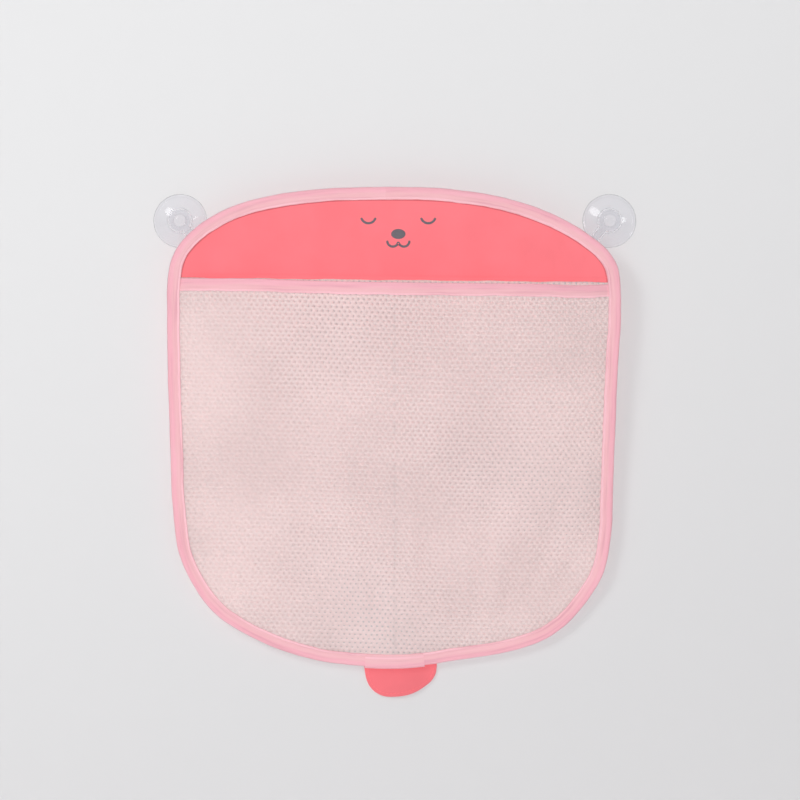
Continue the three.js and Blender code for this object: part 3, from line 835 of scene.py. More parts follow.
def pocket_y(x, z):
    """The front net's middle layer, before the bag leans."""
    inside = outline().depth(x, z) - sizes().tape_width
    ease = smooth_step(inside / (14 * MM))
    return (
        FRONT_NET_SEAM_Y
        - FRONT_NET_LIFT * ease
        - pocket_slack(x, z)
        - pocket_folds(x, z) * smooth_step(inside / (40 * MM))
        - drape(x, z)
    )


def panel_wrinkles(x, z):
    """Faint folds of the head panel, and puckers where it is sewn to the tape."""
    inside = outline().depth(x, z) - sizes().tape_width
    soft = (
        0.42 * np.sin(75 * x + 38 * z + 1.2)
        + 0.3 * np.sin(-118 * x + 64 * z + 0.3)
        + 0.22 * np.sin(171 * x + 22 * z)
    )
    pucker = np.sin(760 * x + 240 * z) * np.exp(-((inside / (5 * MM)) ** 2))
    open_cloth = smooth_step((inside + 1 * MM) / (16 * MM))
    return 0.75 * MM * soft * open_cloth + 0.12 * MM * pucker * smooth_step(inside / (3 * MM))


def panel_y(x, z):
    return PANEL_Y - drape(x, z) - np.abs(panel_wrinkles(x, z))


def lean_matrix():
    """The bag's lean about the line through both loops, which brings its bottom to the wall."""
    size = sizes()
    hang = JOINT_PLACES["bag_swing"]
    drop = hang.z - (size.bag_top - size.bag_height)
    offset = BAG_BACK - hang.y
    standoff = 2 * MM
    tilt = math.asin((-standoff - hang.y) / math.hypot(drop, offset)) - math.atan2(offset, drop)
    return Matrix.Translation(hang) @ Matrix.Rotation(tilt, 4, "X") @ Matrix.Translation(-hang)


def leaning(points):
    """Points of the upright bag, brought to where it hangs."""
    matrix = np.array(lean_matrix())
    return np.asarray(points) @ matrix[:3, :3].T + matrix[:3, 3]


def dressed(piece, slot_name, *nodes):
    """Hides the nodes that the piece stands for; the slot's name is not used."""
    if nodes:
        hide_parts(*nodes)
    return piece


# Geometry Nodes trees


def new_tree(name, inputs):
    """A modifier's tree: its graph and the sockets of its named inputs."""
    tree = bpy.data.node_groups.new(name, "GeometryNodeTree")
    tree.interface.new_socket("Geometry", in_out="INPUT", socket_type="NodeSocketGeometry")
    tree.interface.new_socket("Geometry", in_out="OUTPUT", socket_type="NodeSocketGeometry")
    for label, kind in inputs.items():
        tree.interface.new_socket(label, in_out="INPUT", socket_type="NodeSocket" + kind)
    graph = Graph(tree)
    entry = graph.add("NodeGroupInput")
    return graph, entry.outputs


def finish_tree(graph, instances, finish):
    real = graph.add("GeometryNodeRealizeInstances", None, {0: instances})
    painted = graph.add(
        "GeometryNodeSetMaterial", None, {"Geometry": real.outputs[0], "Material": finish}
    )
    graph.add("NodeGroupOutput", None, {0: painted.outputs[0]})
    return graph.tree


def run_tree(host, tree, values):
    """Adds the tree to the host as a modifier, with its inputs set by their identifiers."""
    modifier = host.modifiers.new(tree.name, "NODES")
    modifier.node_group = tree
    for item in tree.interface.items_tree:
        if item.item_type == "SOCKET" and item.in_out == "INPUT" and item.name in values:
            modifier[item.identifier] = values[item.name]


@kept
def net_tree():
    """Lays a knitted web of six-sided holes over a sheet, following the sheet's own chart."""
    inputs = {
        "Cell": "Object", "Pitch": "Float", "Row": "Float",
        "Span": "Float", "Columns": "Int", "Rows": "Int", "Finish": "Material",
    }
    graph, given = new_tree("knitted_web", inputs)
    pitch, row = Value(graph, given["Pitch"]), Value(graph, given["Row"])
    columns, rows = Value(graph, given["Columns"]), Value(graph, given["Rows"])
    sizes_of_grid = {
        "Size X": pitch * (columns - 1), "Size Y": row * (rows - 1),
        "Vertices X": columns, "Vertices Y": rows,
    }
    points = graph.add("GeometryNodeMeshGrid", None, sizes_of_grid).outputs[0]
    position = graph.add("GeometryNodeInputPosition").outputs[0]
    _, up, _ = graph.xyz(position)
    # Rows are counted from far below, so that the modulo meets no negative number
    line = (up / row + 2000.25).math("FLOOR")
    odd = line.math("MODULO", 2.0)
    shift = graph.add("ShaderNodeCombineXYZ", None, {0: odd * pitch * 0.5})
    moved = graph.add("GeometryNodeSetPosition", None, {0: points, "Offset": shift.outputs[0]})
    cell = graph.add("GeometryNodeObjectInfo", None, {"Object": given["Cell"]})
    values = {"Points": moved.outputs[0], "Instance": cell.outputs["Geometry"]}
    webs = graph.add("GeometryNodeInstanceOnPoints", None, values)
    real = graph.add("GeometryNodeRealizeInstances", None, {0: webs.outputs[0]})
    joined = graph.add(
        "GeometryNodeMergeByDistance", None, {"Geometry": real.outputs[0], "Distance": 0.05 * MM}
    )
    place = graph.add("GeometryNodeInputPosition").outputs[0]
    span = Value(graph, given["Span"])
    half = graph.add("ShaderNodeCombineXYZ", None, {0: 0.5, 1: 0.5})
    shrink = graph.add(
        "ShaderNodeVectorMath", {"operation": "SCALE"}, {0: place, "Scale": 1 / span}
    )
    chart = graph.add(
        "ShaderNodeVectorMath", {"operation": "ADD"}, {0: shrink.outputs[0], 1: half.outputs[0]}
    )
    named = graph.add(
        "GeometryNodeInputNamedAttribute", {"data_type": "FLOAT_VECTOR"}, {"Name": "UVMap"}
    )
    found = graph.add(
        "GeometryNodeSampleUVSurface",
        {"data_type": "FLOAT_VECTOR"},
        {
            "Mesh": given["Geometry"], "Value": graph.add("GeometryNodeInputPosition").outputs[0],
            "Source UV Map": named.outputs[0], "Sample UV": chart.outputs[0],
        },
    )
    outside = graph.number(
        "FunctionNodeBooleanMath", {"operation": "NOT"}, {0: found.outputs["Is Valid"]}
    )
    kept_web = graph.add(
        "GeometryNodeStoreNamedAttribute",
        {"data_type": "FLOAT_VECTOR", "domain": "POINT"},
        {"Geometry": joined.outputs[0], "Name": "place", "Value": found.outputs["Value"]},
    )
    cut = graph.add(
        "GeometryNodeDeleteGeometry",
        {"domain": "POINT"},
        {"Geometry": kept_web.outputs[0], "Selection": outside},
    )
    spot = graph.add("GeometryNodeInputNamedAttribute", {"data_type": "FLOAT_VECTOR"}, {0: "place"})
    laid = graph.add(
        "GeometryNodeSetPosition", None, {0: cut.outputs[0], "Position": spot.outputs[0]}
    )
    smooth = graph.add("GeometryNodeSetShadeSmooth", None, {0: laid.outputs[0]})
    return finish_tree(graph, smooth.outputs[0], given["Finish"])


@kept
def stitch_tree():
    """Sews stitches along every line of its host."""
    inputs = {"Stitch": "Object", "Pitch": "Float", "Finish": "Material"}
    graph, given = new_tree("stitch_row", inputs)
    lines = graph.add("GeometryNodeMeshToCurve", None, {0: given["Geometry"]})
    spots = graph.add(
        "GeometryNodeCurveToPoints",
        {"mode": "LENGTH"},
        {"Curve": lines.outputs[0], "Length": given["Pitch"]},
    )
    facing = graph.add(
        "FunctionNodeAlignRotationToVector",
        {"axis": "X"},
        {"Vector": spots.outputs["Tangent"]},
    )
    stitch = graph.add("GeometryNodeObjectInfo", None, {"Object": given["Stitch"]})
    values = {
        "Points": spots.outputs["Points"], "Instance": stitch.outputs["Geometry"],
        "Rotation": facing.outputs[0],
    }
    sewn = graph.add("GeometryNodeInstanceOnPoints", None, values)
    return finish_tree(graph, sewn.outputs[0], given["Finish"])


def stitch_shape(length, diameter):
    """One short stitch along X, its ends drawn down into the cloth."""
    shares = [-1, -0.8, -0.3, 0.3, 0.8, 1]
    swell = [0.2, 0.75, 1, 1, 0.75, 0.2]
    rings = []
    for share, width in zip(shares, swell):
        turn = np.arange(6) * math.pi / 3
        radius = diameter / 2 * width
        ring = np.column_stack(
            [np.full(6, share * length / 2), np.cos(turn) * radius, np.sin(turn) * radius]
        )
        rings.append(ring)
    return swept("stitch_shape", np.array(rings), sewing_thread())


def sewn_rows(name, lines, pitch=None, length=None):
    """Stitches along lines of points, as one plain mesh."""
    size = sizes()
    stitch = stitch_shape(length or size.stitch_length, size.thread)
    points, edges = [], []
    for line in lines:
        start = len(points)
        points += [list(point) for point in line]
        edges += [(start + k, start + k + 1) for k in range(len(line) - 1)]
    mesh = bpy.data.meshes.new(name)
    mesh.from_pydata(points, edges, [])
    host = linked(name, mesh)
    values = {"Stitch": stitch, "Pitch": pitch or size.stitch_pitch, "Finish": sewing_thread()}
    run_tree(host, stitch_tree(), values)
    row = settled(host)
    discard(stitch)
    row.data.shade_smooth()
    return row


# Pieces


def lathe(name, profile, centre, finish, steps=96):
    """Turns (radius, y) points about the line through the centre, along Y."""
    turn = np.linspace(0, 2 * math.pi, steps, endpoint=False)
    radius, y = profile[:, 0], profile[:, 1]
    x = centre[0] + radius[:, None] * np.cos(turn)
    z = centre[1] + radius[:, None] * np.sin(turn)
    rings = np.stack([x, np.repeat(y[:, None], steps, 1), z], axis=2)
    return swept(name, rings, finish)


def cup_profile():
    """Half the cup's section, from the hollow's roof round the rim and dome to the knob."""
    size = sizes()
    seal, rim = size.cup_radius - 3.5 * MM, size.cup_radius
    share = np.linspace(0.02, 1, 16)
    hollow = np.column_stack([seal * share, -2.6 * MM * np.cos(math.pi / 2 * share)])
    lip = np.array([[rim - 0.5 * MM, 0], [rim - 0.1 * MM, -0.12 * MM], [rim, -0.45 * MM]])
    step = np.array([[rim - 0.15 * MM, -0.85 * MM], [rim - 1.2 * MM, -1.25 * MM]])
    rise = np.linspace(0.07, 0.94, 80)
    radius = rim + (size.neck_radius - rim) * rise
    edge_height, dome_height = 0.9 * MM, 8.4 * MM
    height = -(edge_height + (dome_height - edge_height) * (1 - (1 - rise) ** 1.6))
    # Ridges moulded round the dome, by radius, height and width in millimetres
    for place, tall, wide in ((20, 0.4, 0.5), (8.2, 0.4, 0.5), (5.2, 0.3, 0.4)):
        height -= tall * MM * np.exp(-(((radius / MM - place) / wide) ** 2))
    dome = np.column_stack([radius, height])
    neck = size.neck_radius
    fillet = np.array([[neck + 0.35 * MM, -8.42 * MM], [neck, -8.8 * MM], [neck, -11.7 * MM]])
    knob = size.knob_radius
    start, end = -11.9 * MM, -16.9 * MM
    under = np.array([[neck + 0.4 * MM, start], [knob - 0.5 * MM, start - 0.05 * MM]])
    turn = np.linspace(-0.35, math.pi / 2, 12)
    crown = np.column_stack(
        [
            0.35 * knob + 0.65 * knob * np.cos(turn),
            start - 1.6 * MM - (start - 1.6 * MM - end) * np.sin(turn),
        ]
    )
    dimple = np.array([[0.22 * knob, end + 0.1 * MM], [0.1 * knob, end + 0.35 * MM]])
    centre = np.array([[0.02 * knob, end + 0.42 * MM]])
    return np.vstack([hollow, lip, step, dome, fillet, under, crown, dimple, centre])


def hook_width_at(r, length):
    """Half the flat hook's width at a distance from the cup's centre, ring and arm in one."""
    size = sizes()
    fillet, corner = 1.6 * MM, 2.2 * MM
    outer = r > 4 * MM  # past the hole, where the arm's sides begin
    ring = np.sqrt(np.maximum(size.ring_radius**2 - r**2, 0))
    arm = np.where(r > 0, size.hook_width / 2, 0)
    near = np.sqrt((ring - arm) ** 2 + fillet**2 * outer)
    joined = (ring + arm + near) / 2
    both = np.where(outer, joined - 0.4 * MM * (r < 9.8 * MM), ring)
    past = np.clip(r - (length - corner), 0, corner)
    narrowed = size.hook_width / 2 - corner + np.sqrt(corner**2 - past**2)
    return np.where(past > 0, narrowed, np.maximum(both, np.where(outer, arm, 0)))


def hook_path():
    """The bent hook's middle line as (reach, y), one point for each distance along it."""
    size = sizes()
    bend = 3 * MM
    level = HOOK_BACK - size.hook_thickness / 2
    wall = size.hook_reach + 3 * MM  # the hook's far side
    tip_level = level - 7.8 * MM
    quarter = np.linspace(0, math.pi / 2, 9)
    first = np.column_stack(
        [wall - bend + bend * np.sin(quarter), level - bend + bend * np.cos(quarter)]
    )
    second = np.column_stack(
        [wall - bend + bend * np.cos(quarter), tip_level + bend - bend * np.sin(quarter)]
    )
    ends = [[-size.ring_radius * 1.1, level]], [[wall - 9.5 * MM, tip_level]]
    return np.vstack([ends[0], first, second, ends[1]])


def cup_hook(side):
    """A flat keyhole plate, bent round into a hook at the end of its arm."""
    size = sizes()
    path = hook_path()
    steps = np.concatenate([[0], np.cumsum(np.linalg.norm(np.diff(path, axis=0), axis=1))])
    arc = steps + path[0, 0]
    length = arc[-1]
    sweep = (1 - np.cos(np.linspace(0, math.pi, 41))) / 2
    r = np.concatenate(
        [
            -size.ring_radius + sweep[:20] * size.ring_radius * 2,
            np.linspace(0.2 * MM, length - 2.3 * MM, 60),
            length - 2.2 * MM + 2.2 * MM * np.sin(np.linspace(0, math.pi / 2, 8)),
        ]
    )
    r = np.unique(np.round(r, 6))
    half = hook_width_at(r, length)
    edge = np.vstack([np.column_stack([r, half]), np.column_stack([r, -half])[-2:0:-1]])
    turn = np.linspace(0, 2 * math.pi, 40, endpoint=False)
    hole = (size.neck_radius + 0.5 * MM) * np.column_stack([np.cos(turn), np.sin(turn)])
    work = bmesh.new()
    for loop in (edge, hole):
        points = [work.verts.new((a, 0, b)) for a, b in loop]
        for k, point in enumerate(points):
            work.edges.new((point, points[(k + 1) % len(points)]))
    bmesh.ops.triangle_fill(work, edges=work.edges, use_beauty=True)
    # Cuts across the plate from before the bend to its tip let it bend round
    for cut in np.arange(24 * MM, length - 0.4 * MM, 0.55 * MM):
        sliced(work, (cut, 0, 0), (1, 0, 0))
    bmesh.ops.recalc_face_normals(work, faces=work.faces)
    mesh = bpy.data.meshes.new("hook_plate")
    work.to_mesh(mesh)
    work.free()
    plate = thickened(linked("hook_plate", mesh), size.hook_thickness)

    def bent(along):
        return np.interp(along, arc, path[:, 0]), np.interp(along, arc, path[:, 1])

    flat = np.array([vertex.co for vertex in plate.data.vertices])
    along, near = flat[:, 0], 0.4 * MM
    reach, level = bent(along)
    ahead, rise = np.subtract(bent(along + near), bent(along - near))
    scale = np.hypot(ahead, rise)
    thin = 1 - 0.2 * smooth_step((along - (length - 14 * MM)) / (8 * MM))
    off = flat[:, 1] * thin
    reach, level = reach - off * rise / scale, level + off * ahead / scale
    centre, way = cup_centre(side), hook_reach_way(side)
    over = np.array([-way[1], way[0]])
    x = centre[0] + reach * way[0] + flat[:, 2] * over[0]
    z = centre[1] + reach * way[1] + flat[:, 2] * over[1]
    bent_points = np.column_stack([x, level, z]).astype(np.float32)
    plate.data.vertices.foreach_set("co", bent_points.ravel())
    plate.data.update()
    turned_out(repainted(plate, clear_hard_plastic()))
    plate.data.shade_smooth()
    bevel = plate.modifiers.new("Bevel", "BEVEL")
    bevel.width, bevel.segments, bevel.limit_method = 0.7 * MM, 3, "ANGLE"
    bevel.angle_limit = math.radians(50)
    normals = plate.modifiers.new("Normals", "WEIGHTED_NORMAL")
    normals.keep_sharp = True
    return plate


def tape_section(gap, width, thickness, pinch):
    """Closed sections of folded tape for each station, from the back inner edge over the fold.

    Gives distances from the fold and offsets from the cloth's middle, as arrays of stations by
    points, how far each point lies from the fold along the tape, and the outer layer's count."""
    # Points across one side of the tape as shares of its width, and how far the seam pulls each in
    shares = np.array([1, 0.965, 0.92, 0.87, 0.83, 0.79, 0.74, 0.62, 0.48, 0.36, 0.25])
    seam, lip = 0.83, 0.55
    dent = np.exp(-(((shares - seam) / 0.045) ** 2)) - lip * np.exp(-(((shares - 1) / 0.05) ** 2))
    stations = len(gap)
    nose = 1.55 * MM
    turn = np.linspace(math.pi / 2, -math.pi / 2, 13)[1:-1]
    away = np.concatenate([shares, np.zeros(len(turn)), shares[::-1]])
    back = np.tile(away, (stations, 1)) * width[:, None]
    back[:, len(shares) : len(shares) + len(turn)] = nose * (1 - np.cos(turn))
    side = np.concatenate([np.ones(len(shares)), np.sin(turn), -np.ones(len(shares))])
    dents = np.concatenate([dent, np.zeros(len(turn)), dent[::-1]])
    off = side[None] * (gap[:, None] - pinch[:, None] * dents[None])
    line = np.stack([back, off], axis=2)
    along = np.gradient(line, axis=1)
    along /= np.linalg.norm(along, axis=2)[..., None]
    normal = np.stack([-along[..., 1], along[..., 0]], axis=2)
    half = thickness / 2
    outer, inner = line + normal * half, line - normal * half
    ends = []
    for k, sign in ((-1, 1), (0, -1)):
        tip = line[:, k] + sign * along[:, k] * half
        ends.append(tip[:, None])
    section = np.concatenate([outer, ends[0], inner[:, ::-1], ends[1]], axis=1)
    middle = line[stations // 2]
    arc = np.concatenate([[0], np.cumsum(np.linalg.norm(np.diff(middle, axis=0), axis=1))])
    fold = np.abs(arc - arc[len(arc) // 2])
    around = np.concatenate([fold, fold[-1:], fold[::-1], fold[:1], fold[:1]])
    return section, around, len(fold)


def folded_tape(name, line, inward, middle, gap, width, thickness, pinch, closed):
    """Tape folded over an edge. middle(x, z) gives the y of the cloth's middle there."""
    section, around, layer = tape_section(gap, width, thickness, pinch)
    away, off = section[..., 0], section[..., 1]
    x = line[:, None, 0] + inward[:, None, 0] * away
    z = line[:, None, 1] + inward[:, None, 1] * away
    rings = np.stack([x, middle(x, z) + off, z], axis=2)
    spaced = np.linalg.norm(np.diff(line, axis=0), axis=1)
    along = np.concatenate([[0], np.cumsum(spaced)])
    if closed:
        along = np.append(along, along[-1] + np.linalg.norm(line[0] - line[-1]))
    piece = swept(name, leaning(rings), binding_tape(), closed, along, around)
    return piece, rings, layer


def around_waves(count, waves):
    """A closed line of values that repeats smoothly: (turns, height, phase) of each wave."""
    turn = np.arange(count) / count * 2 * math.pi
    return sum(height * np.sin(turns * turn + phase) for turns, height, phase in waves)


def edge_tape():
    """The tape folded over the bag's whole edge, with its end lapped at the bottom."""
    size = sizes()
    count = 640
    edge = Outline(count)
    sway = around_waves(count, [(13, 0.12, 0.4), (31, 0.07, 1.9), (57, 0.05, 0.2), (94, 0.04, 2)])
    line = edge.inset(0) - edge.inward * (sway * MM)[:, None]
    width = size.tape_width + MM * around_waves(
        count, [(19, 0.14, 2.2), (43, 0.07, 0.7), (88, 0.05, 1.1), (137, 0.04, 0)]
    )
    shoulder = np.exp(-(((edge.points[:, 1] + 5 * MM) / (24 * MM)) ** 2))
    gap = np.full(count, TAPE_HALF_GAP) + MM * around_waves(count, [(61, 0.05, 0), (23, 0.06, 1)])
    pinch = MM * (0.2 + 0.1 * shoulder + around_waves(count, [(113, 0.05, 0.5)]))
    for side in (-1, 1):
        below = edge.points[:, 1] - mouth_level(side * MOUTH_END) + 5 * MM
        near = (np.sign(edge.points[:, 0]) == side) * np.exp(-((below / (6 * MM)) ** 2))
        gap = gap + 0.22 * MM * near

    def middle(x, z):
        off = (outline().depth(x, z) - 9 * MM) / (3 * MM)
        ripple = np.sin(610 * x + 420 * z) * np.exp(-(off**2))
        return TAPE_Y - drape(x, z) - 0.1 * MM * ripple

    return folded_tape(
        "edge_tape", line, edge.inward, middle, gap, width, size.tape_thickness, pinch, True
    )


def tape_lap():
    """The last stretch of the tape, which laps over its own start at the bottom."""
    size = sizes()
    edge = Outline(1200)
    bottom = edge.points[:, 1] < -300 * MM
    wanted = bottom & (edge.points[:, 0] > -26 * MM) & (edge.points[:, 0] < 25.4 * MM)
    line = edge.points[wanted]
    inward = edge.inward[wanted]
    count = len(line)
    line = line - inward * 1.5 * MM
    gap = np.full(count, TAPE_HALF_GAP + 0.33 * MM)
    width = np.full(count, size.tape_width + 1.3 * MM)
    pinch = np.full(count, 0.25 * MM)

    def middle(x, z):
        return TAPE_Y - drape(x, z) - 0.28 * MM

    return folded_tape(
        "edge_tape_lap", line, inward, middle, gap, width, 0.42 * MM, pinch, False
    )


def tape_seams(rings, layer):
    """Where stitches run along folded tape: a line on its back and one on its front."""
    lines = []
    for column, sign in ((4, 1), (layer - 5, -1)):
        line = rings[:, column].copy()
        line[:, 1] += sign * STITCH_LIFT
        lines.append(leaning(line))
    return lines


def mouth_line():
    """Stations along the mouth, from under the edge tape on the left to the right."""
    size = sizes()
    level = mouth_level(np.zeros(1))[0] - size.tape_width / 2
    left, right = outline().sides(size.tape_width - 5 * MM, np.array([level]))
    x = np.concatenate([np.linspace(left[0], 0, 91), np.linspace(0, right[0], 91)[1:]])
    return np.column_stack([x, mouth_level(x)])


def mouth_tape():
    """The tape folded over the front net's upper edge: the piece, its rings and layer count."""
    size = sizes()
    line = mouth_line()
    count = len(line)
    x = line[:, 0]
    inward = np.tile([0.0, -1.0], (count, 1))
    under = smooth_step((outline().depth(x, line[:, 1] - 5 * MM) - 8 * MM) / (9 * MM))
    gap = (0.33 + 0.32 * under) * MM
    width = size.tape_width + MM * (0.2 * np.sin(x * 130) + 0.15 * np.sin(x * 271 + 1))
    pinch = 0.1 * MM * under
    return folded_tape(
        "mouth_tape", line, inward, pocket_y, gap, width, 0.45 * MM, pinch, False
    )


def blended(piece):
    """Bakes the piece's transform into its mesh."""
    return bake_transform(piece)


def net_chart(x, z, sway):
    """Where points lie on the knitted web, with the web's own slow distortion."""
    wide = x - CHART_MIDDLE[0] + sway * MM * (np.sin(16 * z + 0.8) + 0.4 * np.sin(31 * x))
    high = z - CHART_MIDDLE[1] + sway * MM * (np.sin(14 * x) + 0.5 * np.sin(24 * z))
    return 0.5 + np.stack([wide, high], axis=-1) / CHART_SPAN


def net_surface(name, y_at, border, top, sway, tilt):
    """The smooth sheet that a web is laid over: a fine grid, cut to the border and the top."""
    step = 3 * MM
    x = np.arange(-192 * MM, 192 * MM + step, step)
    z = np.arange(-378 * MM, -30 * MM, step)
    gx, gz = np.meshgrid(x, z)
    grid = np.stack([gx, y_at(gx, gz), gz], axis=2)
    turn = math.radians(tilt)
    cx, cz = gx * math.cos(turn) - gz * math.sin(turn), gx * math.sin(turn) + gz * math.cos(turn)
    chart = net_chart(cx, cz, sway)
    quads = grid_faces(*gx.shape)
    inside = (outline().depth(gx, gz) > border) & (gz < top(gx))
    quads = quads[inside.ravel()[quads].all(axis=1)]
    corners = chart.reshape(-1, 2)[quads.ravel()]
    points = leaning(grid).reshape(-1, 3)
    return new_piece(name, points, quads.tolist(), knitted_net(), corners)


def web_cell():
    """One repeat of the web: the three strands and two crossings beside a hole."""
    size = sizes()
    p, r, s = size.net_pitch, size.net_row, size.net_strand
    w, h = (p - s) / 2, r * 2 / 3 - s / 2  # half the hole's width and half its height
    points = [
        (0, h), (w, h / 2), (w, -h / 2), (0, -h),
        (p - w, h / 2), (p - w, -h / 2),
        (p / 2 - w, r - h / 2), (p / 2, r - h),
        (p / 2, -r + h), (p / 2 - w, -r + h / 2),
    ]
    faces = [(1, 2, 5, 4), (0, 1, 7, 6), (2, 3, 9, 8), (1, 4, 7), (2, 8, 5)]
    mesh = bpy.data.meshes.new("web_cell")
    mesh.from_pydata([(a, b, 0) for a, b in points], [], faces)
    return linked("web_cell", mesh)


def web_on(surface):
    """The knitted web laid over the surface, as a plain mesh one layer thick."""
    size = sizes()
    cell = web_cell()
    values = {
        "Cell": cell, "Pitch": size.net_pitch, "Row": size.net_row, "Span": CHART_SPAN,
        "Columns": int(WEB_SIZE[0] / size.net_pitch), "Rows": int(WEB_SIZE[1] / size.net_row),
        "Finish": knitted_net(),
    }
    run_tree(surface, net_tree(), values)
    web = settled(surface)
    discard(cell)
    with editing(web.data) as work:
        loose = [vertex for vertex in work.verts if not vertex.link_faces]
        bmesh.ops.delete(work, geom=loose, context="VERTS")
    return web


def half_of(whole, side, name):
    """A closed copy of a piece on one side of the bag's middle."""
    mesh = whole.data.copy()
    mesh.name = name
    with editing(mesh) as work:
        sliced(work, (0, 0, 0), (side, 0, 0), dist=0.001 * MM, clear_inner=True)
        rim = [edge for edge in work.edges if edge.is_boundary]
        bmesh.ops.holes_fill(work, edges=rim, sides=0)
        for edge in rim:
            edge.smooth = False
        bmesh.ops.recalc_face_normals(work, faces=work.faces)
    return linked(name, mesh)


class ORGANIZER_OT_cups(bpy.types.Operator):
    """Turn the two clear suction cups"""

    bl_idname = "organizer.cups"
    bl_label = "Suction Cups"

    def execute(self, context):
        for side, word in ((-1, "left"), (1, "right")):
            cup = lathe(word + "_cup", cup_profile(), cup_centre(side), clear_soft_vinyl())
            dressed(cup, "cup_clear", word + "_suction_cup")
            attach(cup, "root")
        return {"FINISHED"}


class ORGANIZER_OT_hooks(bpy.types.Operator):
    """Bend the two clear hooks"""

    bl_idname = "organizer.hooks"
    bl_label = "Hooks"

    def execute(self, context):
        for side, word in ((-1, "left"), (1, "right")):
            hook = cup_hook(side)
            hook.name = word + "_hook"
            dressed(hook, "hook_clear", word + "_cup_hook")
            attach(hook, word + "_hook")
        return {"FINISHED"}


class ORGANIZER_OT_head_panel(bpy.types.Operator):
    """Lay the coral head panel with its turned hem"""

    bl_idname = "organizer.head_panel"
    bl_label = "Head Panel"

    def execute(self, context):
        size = sizes()
        margin = 1.4 * MM
        left, right = outline().sides(margin, hem_level(np.zeros(1)))
        u = np.sin(math.pi / 2 * np.linspace(-1, 1, 181))
        x = (left[0] + right[0]) / 2 + (right[0] - left[0]) / 2 * u
        line = outline().inset(margin)
        upper = line[line[:, 1] > hem_level(line[:, 0]) - 6 * MM]
        upper = upper[upper[:, 0].argsort()]
        top = np.interp(x, upper[:, 0], upper[:, 1])
        hem = hem_level(x) + MM * (0.22 * np.sin(x * 96) + 0.14 * np.sin(x * 231 + 2))
        top = np.maximum(top, hem + 2 * MM)
        count = 64
        v = np.linspace(0, 1, count)[:, None]
        gx = np.tile(x, (count, 1))
        gz = top + (hem - top) * v
        gy = panel_y(gx, gz)
        gy = gy + (0.15 * MM) * np.exp(-(((gz - hem) / (2 * MM)) ** 2))
        rows = [np.stack([gx, gy, gz], axis=2)]
        # The hem turns round its fold and up behind the panel
        radius = (HEM_FOLD_Y - PANEL_Y) / 2 - 0.07 * MM
        base = gy[-1]
        for angle in (30, 60, 90, 120, 150):
            turn = math.radians(angle)
            y = base + radius * (1 - math.cos(turn))
            rows.append(np.stack([x, y, hem - radius * math.sin(turn)], axis=1)[None])
        for lift in (0, 1.5, 3, 4.5, 6, 7.2):
            z = hem + lift * MM
            rows.append(np.stack([x, panel_y(x, z) + 2 * radius, z], axis=1)[None])
        grid = np.concatenate(rows)
        chart = np.stack([grid[..., 0], grid[..., 2]], axis=2)
        panel = sheet_piece("coral_panel", leaning(grid), chart, coral_cloth())
        # The depth inside the tape, from which the coral's material paints a shade line and a groove
        # by the seam
        inside = outline().depth(grid[..., 0], grid[..., 2]) - size.tape_width
        seam = panel.data.attributes.new("seam", "FLOAT", "POINT")
        seam.data.foreach_set("value", (1 + inside / (10 * MM)).astype(np.float32).ravel())
        turned_out(panel)
        panel = thickened(panel, size.cloth_thickness)
        dressed(panel, "coral_cloth", "head_panel")
        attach(panel, "bag")
        return {"FINISHED"}


def ink_line(points, width):
    """The outline of a line of ink with round ends, along points from left to right."""
    points = np.asarray(points)
    along = np.gradient(points, axis=0)
    along /= np.linalg.norm(along, axis=1)[:, None]
    side = np.column_stack([-along[:, 1], along[:, 0]]) * width / 2
    turn = np.linspace(math.pi / 2, -math.pi / 2, 9)[1:-1]

    def cap(point, way):
        over = np.array([-way[1], way[0]])
        arc = np.cos(turn)[:, None] * way + np.sin(turn)[:, None] * over
        return point + arc * width / 2

    right, left = cap(points[-1], along[-1]), cap(points[0], -along[0])
    return np.vstack([points + side, right, (points - side)[::-1], left])


def hanging_arc(x, z, radius, degrees):
    turn = np.radians(np.linspace(-degrees, degrees, 21))
    return np.column_stack([x + radius * np.sin(turn), z - radius * np.cos(turn)])


def printed(name, shapes):
    """Ink on the head panel that follows the cloth, from outlines in (x, z)."""
    work = bmesh.new()
    for shape in shapes:
        points = [work.verts.new((x, 0, z)) for x, z in shape]
        triangles = tessellate_polygon([[Vector((x, z, 0)) for x, z in shape]])
        for triangle in triangles:
            work.faces.new([points[k] for k in triangle])
    # Cut both ways, so that the ink bends with the cloth
    low = [min(vertex.co[k] for vertex in work.verts) for k in (0, 2)]
    high = [max(vertex.co[k] for vertex in work.verts) for k in (0, 2)]
    for k, way in ((0, (1, 0, 0)), (1, (0, 0, 1))):
        for cut in np.arange(low[k] + 1 * MM, high[k], 1.3 * MM):
            sliced(work, (cut, 0, cut), way)
    bmesh.ops.remove_doubles(work, verts=work.verts, dist=0.02 * MM)
    bmesh.ops.recalc_face_normals(work, faces=work.faces)
    mesh = bpy.data.meshes.new(name)
    work.to_mesh(mesh)
    work.free()
    flat = np.array([vertex.co for vertex in mesh.vertices])
    front = panel_y(flat[:, 0], flat[:, 2]) - sizes().cloth_thickness / 2 - 0.07 * MM
    points = leaning(np.column_stack([flat[:, 0], front, flat[:, 2]]))
    mesh.vertices.foreach_set("co", points.astype(np.float32).ravel())
    mesh.materials.append(screen_ink())
    mesh.shade_smooth()
    return thickened(linked(name, mesh), 0.1 * MM)


